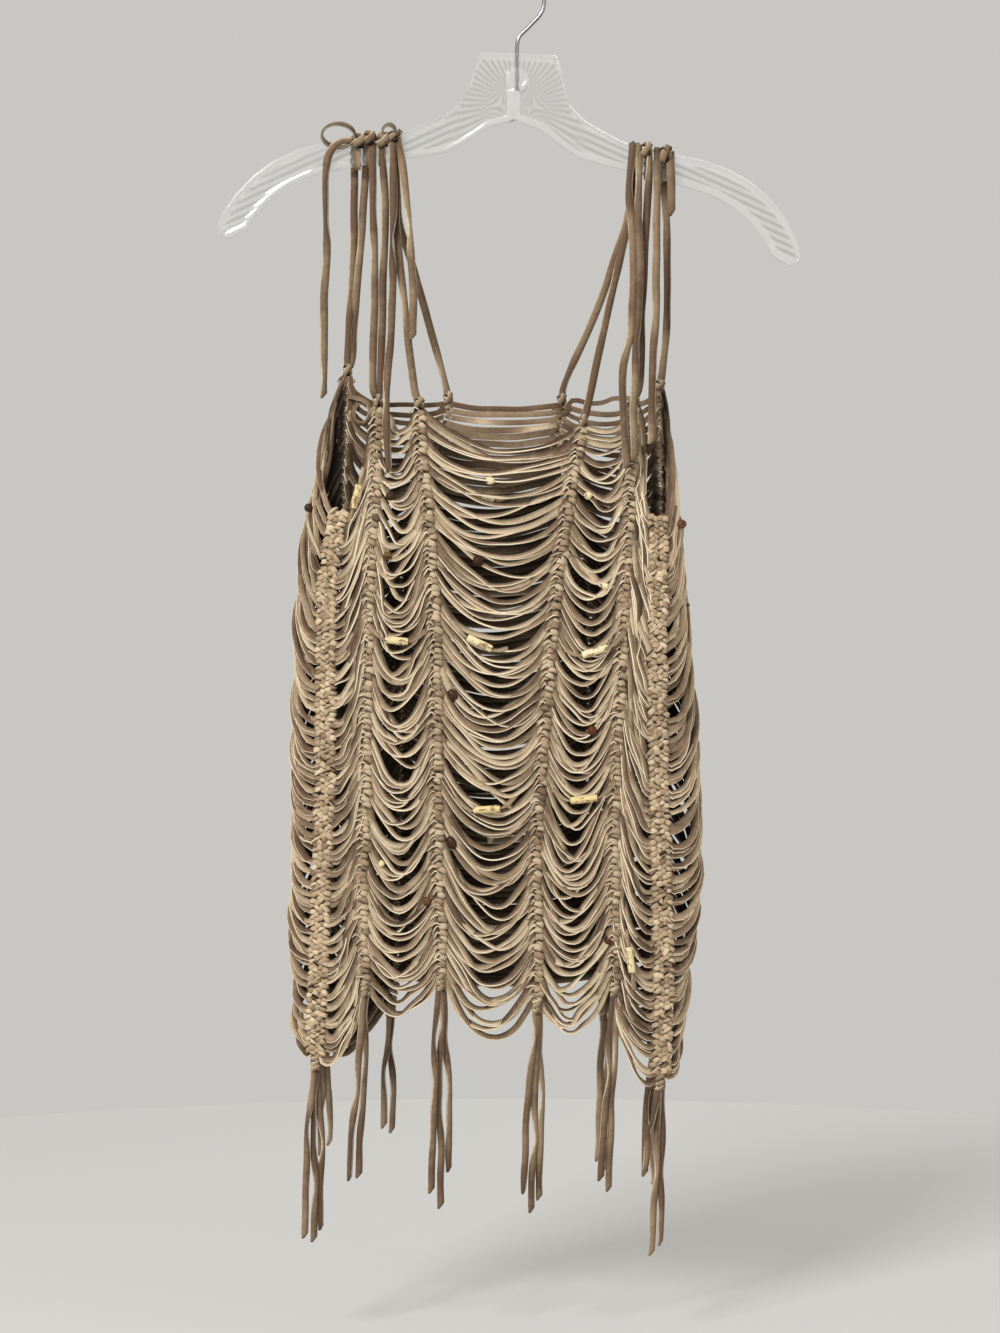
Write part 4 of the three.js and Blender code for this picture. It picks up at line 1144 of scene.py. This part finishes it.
def round_beads(name, beads, material, at_edge=()):
    """Beads threaded on the net's nearest lace, and the edge's beads on laces of their own."""
    parts = Parts()
    for radius, tone, points in at_edge:
        add_bead(parts, points[2], np.subtract(points[3], points[1]), ball_profile(radius), tone)
    for x, z, radius, stretch, front, tone in beads:
        lines = front_lines if front else back_lines
        apart = np.hypot(lines[..., 0] - x, lines[..., 2] - z)
        row, station = np.unravel_index(np.argmin(apart), apart.shape)
        run = np.gradient(lines[row], axis=0)[station]
        lift = (0.0, -1.2 if front else 0.0, 0.0)
        add_bead(parts, lines[row, station] + lift, run, ball_profile(radius, stretch=stretch), tone)
    return parts.to_object(name, material)


cream_beads = round_beads("round_beads_bone", CREAM_BEADS, bone)
wood_beads = round_beads("round_beads_wood", WOOD_BEADS, wood, EDGE_BEADS)
parts = Parts()
for _, _, points in EDGE_BEADS:
    add_free_lace(parts, points, twist=0.2, width=2.6, tone=0.7, wobble=0.2)
edge_laces = parts.to_object("edge_bead_laces", suede)

# %% [markdown]
# ## The hanger
# The clear hanger is a moulded bar between an upper and an under edge. Both its faces are recessed inside a
# plain rim and carry fine ridges that catch the light: rays in the neck, slanted lines on the arms, and
# none where the straps sit. The valleys between the ridges are painted darker, as painted shade.

# %% Hanger body
HANGER_STATIONS = 560
RIDGE_PITCH = 5.2
RIDGE_HEIGHT = 0.3
RIDGE_SLANT = np.radians(24)
RAY_COUNT = 52
RAY_CENTRE_Z = -112.0
RECESS = 0.8
TIP_BULGE = 5.0
# The socket's ring and its rib stand over the recess
RING_Z = -95
RING_RADIUS = 7.4
RING_WIDE = 1.1
RING_HIGH = 0.9
RIB_X = -2.7
RIB_HALF_WIDE = 4.7
RIB_HIGH = 1.2
RIB_TOP_Z = -103
# The plain seat under the straps, as places across from the middle
SEAT = (84, 124)
# From the edge inwards: half the thickness, the places of the points on the rim, and the ridges' fading in
EDGE_STEPS, EDGE_HALF_THICK = [0, 0.5, 1.5, 2.3], [2.5, 3.2, 4.0, 4.0]
RIM_STEPS = np.array([0.0, 0.5, 1.5, 2.3, 3.1])[None, :]
RIDGES_FROM, RIDGES_FULL = 2.3, 5.8
FACE_POINTS = 34
TIP_ANGLES = np.radians([18, 36, 52, 66, 78, 87])[:, None]
# What the plastic lets through between the ridges and on them: the valleys are painted darker, a painted
# shade that stands for how the ridges bend the light
VALLEY_PAINTED_SHADE = (0.70, 0.70, 0.69)
CREST_TINT = (1.0, 1.0, 0.99)

# %% Edge's points and relief
def along_edge(edge, count):
    """Points at even shares of an edge's length."""
    length = np.concatenate([[0], np.cumsum(np.linalg.norm(np.diff(edge, axis=0), axis=1))])
    share = np.linspace(0, length[-1], count)
    return np.stack([np.interp(share, length, edge[:, k]) for k in (0, 1)], axis=1)


def ridge(x, z):
    """The relief of a face: half a cosine wave, across slanted lines on the arms and across rays in the neck,
    faded out under the straps, with the round boss and the upright rib of the socket over it."""
    slant = np.abs(x) * np.sin(RIDGE_SLANT) + z * np.cos(RIDGE_SLANT)
    lines = 0.5 * np.cos(2 * np.pi / RIDGE_PITCH * slant)
    reach = np.hypot(x, z - RAY_CENTRE_Z)
    rays = 0.5 * np.cos(RAY_COUNT * np.arctan2(z - RAY_CENTRE_Z, x)) * np.clip(reach / 18, 0, 1)
    on_arm = np.clip((np.abs(x) - 40) / 12, 0, 1)
    middle_line = -139.0 - 0.25 * np.abs(np.abs(x) - 60)
    seat = (np.abs(x) > SEAT[0]) & (np.abs(x) < SEAT[1]) & (z > middle_line)
    relief = RIDGE_HEIGHT * (lines * on_arm + rays * (1 - on_arm)) * np.where(seat, 0.0, 1.0) - RECESS
    from_ring = (np.hypot(x, z - RING_Z) - RING_RADIUS) / RING_WIDE
    ring = RING_HIGH * np.sqrt(np.clip(1 - from_ring ** 2, 0, 1))
    relief = np.where(from_ring <= 1, ring, relief)
    from_rib = np.abs(x - RIB_X) / RIB_HALF_WIDE
    rib = RIB_HIGH * np.sqrt(np.clip(1 - from_rib ** 2, 0, 1))
    return np.where((from_rib < 1) & (z < RIB_TOP_Z), np.maximum(relief, rib), relief)

# %% Rings of the bar
def hanger_faces():
    """The bar as rings of points from tip to tip, and the relief at each: a ring runs up the front face and
    down the back."""
    upper = along_edge(UPPER_EDGE, HANGER_STATIONS)
    under = along_edge(UNDER_EDGE, HANGER_STATIONS)
    ends = []
    for k, inner in ((0, 1), (-1, -2)):
        middle, half = (upper[k] + under[k]) / 2, (upper[k] - under[k]) / 2
        out = unit(np.array([half[1], -half[0]]))
        out = TIP_BULGE * out * np.sign(out @ (middle - (upper[inner] + under[inner]) / 2))
        ends.append([middle + side * half * np.cos(TIP_ANGLES) + out * np.sin(TIP_ANGLES)
                     for side in (1, -1)])
    upper = np.concatenate([ends[0][0][::-1], upper, ends[1][0]])
    under = np.concatenate([ends[0][1][::-1], under, ends[1][1]])
    wide = np.linalg.norm(upper - under, axis=1)[:, None]
    rim = RIM_STEPS * np.clip(wide / 12, 0, 1)
    inside = rim[:, -1:] + (wide - 2 * rim[:, -1:]) * np.linspace(0, 1, FACE_POINTS)[None, 1:-1]
    up = np.concatenate([rim, inside, wide - rim[:, ::-1]], axis=1)
    share = (up / wide)[..., None]
    place = under[:, None] * (1 - share) + upper[:, None] * share
    from_edge = np.minimum(up, wide - up)
    faded = np.clip((from_edge - RIDGES_FROM) / (RIDGES_FULL - RIDGES_FROM), 0, 1)
    relief = ridge(place[..., 0], place[..., 1]) * faded
    half_thick = np.interp(from_edge, EDGE_STEPS, EDGE_HALF_THICK) + relief
    front = np.stack([place[..., 0], -half_thick, place[..., 1]], axis=-1)
    back = front[:, ::-1] * (1, -1, 1)
    return np.concatenate([front, back], axis=1) * MM, np.concatenate([relief, relief[:, ::-1]], axis=1)

# %% Clear plastic and the bar
clear, tree, shader = new_material("clear_plastic", Roughness=0.12, IOR=1.49, Transmission_Weight=0.88,
                                   Specular_IOR_Level=0.12)
# Painted shade: the base colour is darker in the ridges' valleys and clear on their crests
crest = rise(tree, attribute(tree, "relief"), -0.95, -0.65)
drive(tree, shader, "Base Color", mix_colours(tree, crest, VALLEY_PAINTED_SHADE, CREST_TINT))
ring_points, ring_relief = hanger_faces()
quads, caps = tube_faces(1, *ring_points.shape[:2])
order = winding(ring_points, quads)
parts = Parts()
parts.add(ring_points, [quads[:, ::order], caps[:, ::order]], relief=ring_relief)
hanger_body = parts.to_object("hanger_body_clear", clear)

# %% [markdown]
# ## The socket and the hook
# The hook's stem turns in a socket that is cut into the clear bar: a bore with a wider pit for the bulb.

# %% Socket
WIRE_RADIUS = 1.5
BULB_Z = -93.0
BULB_RADIUS = 2.2
BULB_HALF_HEIGHT = 5.0
STEM_END_Z = -103.0
NECK_TOP_Z = -73.0
CLEARANCE = 0.3
bore, pit = WIRE_RADIUS + CLEARANCE, BULB_RADIUS + CLEARANCE
pit_reach = BULB_HALF_HEIGHT + CLEARANCE
# Depth under the origin and radius, with slanted shoulders 1.5 mm high at both ends of the pit
socket_profile = [
    (CLEARANCE - STEM_END_Z, 0.01), (CLEARANCE - STEM_END_Z, bore), (pit_reach - BULB_Z, bore),
    (pit_reach - BULB_Z - 1.5, pit), (-pit_reach - BULB_Z + 1.5, pit), (-pit_reach - BULB_Z, bore),
    (-NECK_TOP_Z, bore), (-NECK_TOP_Z, 0.01),
]
parts = Parts()
add_bead(parts, np.zeros(3), (0, 0, -1), socket_profile, 0.0)
cutter = parts.to_object("socket_cutter", clear)
cut = hanger_body.modifiers.new("socket", "BOOLEAN")
cut.object = cutter
cut.operation = "DIFFERENCE"
bpy.context.view_layer.objects.active = hanger_body
bpy.ops.object.modifier_apply(modifier=cut.name)
bpy.data.objects.remove(cutter)
print("hanger after the socket:", len(hanger_body.data.polygons), "faces")

# %% Hook
HOOK_RADIUS = 20.9
ARCH_Z = WIRE_RADIUS - HOOK_RADIUS
WIRE_SIDES = 16
arch = [(HOOK_RADIUS * np.cos(a), 0, ARCH_Z + HOOK_RADIUS * np.sin(a)) for a in np.linspace(np.pi, 0, 17)]
leg = [(20.6, 0, -32), (18.5, 0, -44), (9, 0, -55), (1.5, 0, -63), (0, 0, -72), (0, 0, -86),
       (0, 0, STEM_END_Z)]
hook_line = smooth_curve([(-HOOK_RADIUS, 0, ARCH_Z - 7), *arch, *leg], 220)
swell = np.clip(1 - ((hook_line[:, 2] - BULB_Z) / BULB_HALF_HEIGHT) ** 2, 0, None)
in_bulb = np.maximum(WIRE_RADIUS, BULB_RADIUS * np.sqrt(swell))
thick = np.where(hook_line[:, 2] < -80, in_bulb, WIRE_RADIUS)[None, :, None] * MM
angle = np.linspace(0, 2 * np.pi, WIRE_SIDES, endpoint=False)
ROUND_SECTION = np.stack([np.cos(angle), np.sin(angle), 0 * angle, 0 * angle], axis=1)
run = unit(np.gradient(hook_line, axis=0))
across = np.broadcast_to([0.0, 1.0, 0.0], run.shape)
steel, tree, shader = new_material("steel_wire", Base_Color=(0.30, 0.30, 0.31, 1), Metallic=1.0)
place = node(tree, "ShaderNodeTexCoord", output=3)
drive(tree, shader, "Roughness", noise(tree, place, 400.0) * 0.15 + 0.14)
parts = Parts()
parts.add_laces(hook_line[None] * MM, across[None] * thick, np.cross(run, across)[None] * thick, [0.5],
                ROUND_SECTION)
hanger_hook = parts.to_object("hanger_hook_wire", steel)

# %% [markdown]
# ## Stage
# A plain pale floor just below the tails, a pale world and three soft lights.

# %% Floor, world and lights
FLOOR_Z = -1.03
FLOOR_RADIUS = 1.2
WORLD_COLOUR = (0.80, 0.79, 0.76, 1)
WORLD_STRENGTH = 0.72
# Name, place, aim, size in metres and power in watts of the soft lights
LIGHTS = [
    ("key", (-1.5, -2.6, 1.6), (0, 0, -0.5), 1.0, 95),
    ("fill", (2.4, -2.4, 0.2), (0, 0, -0.5), 1.8, 12),
    ("rim", (0.8, 2.4, 1.2), (0, 0, -0.4), 1.2, 20),
]

bpy.ops.mesh.primitive_circle_add(vertices=96, radius=FLOOR_RADIUS, fill_type="NGON",
                                  location=(0, 0, FLOOR_Z))
floor = bpy.context.object
floor.name = "floor"
floor_material, _, _ = new_material("floor_pale", Base_Color=(0.60, 0.595, 0.58, 1), Roughness=0.9)
floor.data.materials.append(floor_material)

world = bpy.data.worlds.new("pale")
world.use_nodes = True
background = world.node_tree.nodes["Background"]
background.inputs["Color"].default_value = WORLD_COLOUR
background.inputs["Strength"].default_value = WORLD_STRENGTH
bpy.context.scene.world = world
bpy.context.scene.view_settings.view_transform = "Standard"

# %% Soft lights
def soft_light(name, place, aim, size, power):
    """A square area light that looks from its place at its aim, and isn't itself seen through the hanger."""
    data = bpy.data.lights.new(name, "AREA")
    data.size = size
    data.energy = power
    light = bpy.data.objects.new(name, data)
    light.location = place
    light.rotation_euler = (Vector(aim) - Vector(place)).to_track_quat("-Z", "Y").to_euler()
    light.visible_transmission = False
    bpy.context.collection.objects.link(light)


for light in LIGHTS:
    soft_light(*light)
print("lights:", [light[0] for light in LIGHTS])

# %% [markdown]
# ## What each piece stands for
# Every piece rides on the one body, and replaces the solids of the nodes it stands for, which are hidden.
# The two nets are sheets of lace: the area of their laces laid flat is worked out and printed.

# %% Ride and replace
def belongs(piece, slot, *nodes):
    """Let a piece ride on the body and stand for its nodes, whose solids are hidden. slot is not used."""
    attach(piece, "root")
    if nodes:
        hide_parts(*nodes)


for piece in (front_laces, front_knots):
    belongs(piece, "suede", "front_net")
for piece in (back_laces, back_knots, loose_laces):
    belongs(piece, "suede", "back_net")
for piece, column in zip(straps, STRAPS):
    belongs(piece, "suede", "strap_" + column)
for name, piece in ties.items():
    belongs(piece, "suede", name)
for piece, column in zip(tails, TAILS):
    belongs(piece, "suede", "tail_" + column)
for number, piece in enumerate(bone_tubes, start=1):
    belongs(piece, "bone", f"bone_tube_{number}")
belongs(seam_left, "braid", "seam_left")
belongs(seam_right, "braid", "seam_right")
belongs(bone_laces, "suede")
belongs(edge_laces, "suede")
belongs(cream_beads, "bone")
belongs(wood_beads, "wood")
belongs(hanger_body, "clear_plastic", "hanger_body")
belongs(hanger_hook, "steel", "hanger_hook")

# %% The nets as sheets
def declare_net(laces, lines, panels):
    """Laid flat, a net is its rows side by side: as wide as the lace of one row is long, and as long as
    ROWS lace widths. The steps between one panel's lines and the next one's don't count."""
    steps = np.linalg.norm(np.diff(lines, axis=1), axis=-1)
    inside = np.ones(steps.shape[1], bool)
    inside[np.cumsum([panel.stations for panel in panels])[:-1] - 1] = False
    row_length = steps[:, inside].sum(axis=1).mean() * MM
    flat = (row_length, ROWS * LACE_WIDTH)
    surface = sum(polygon.area for polygon in laces.data.polygons) / 2
    print(f"{laces.name}: {row_length:.3f} m of lace to a row, half surface over flat area "
          f"{surface / (flat[0] * flat[1]):.2f}")


declare_net(front_laces, front_lines, FRONT_PANELS)
declare_net(back_laces, back_lines, BACK_PANELS)
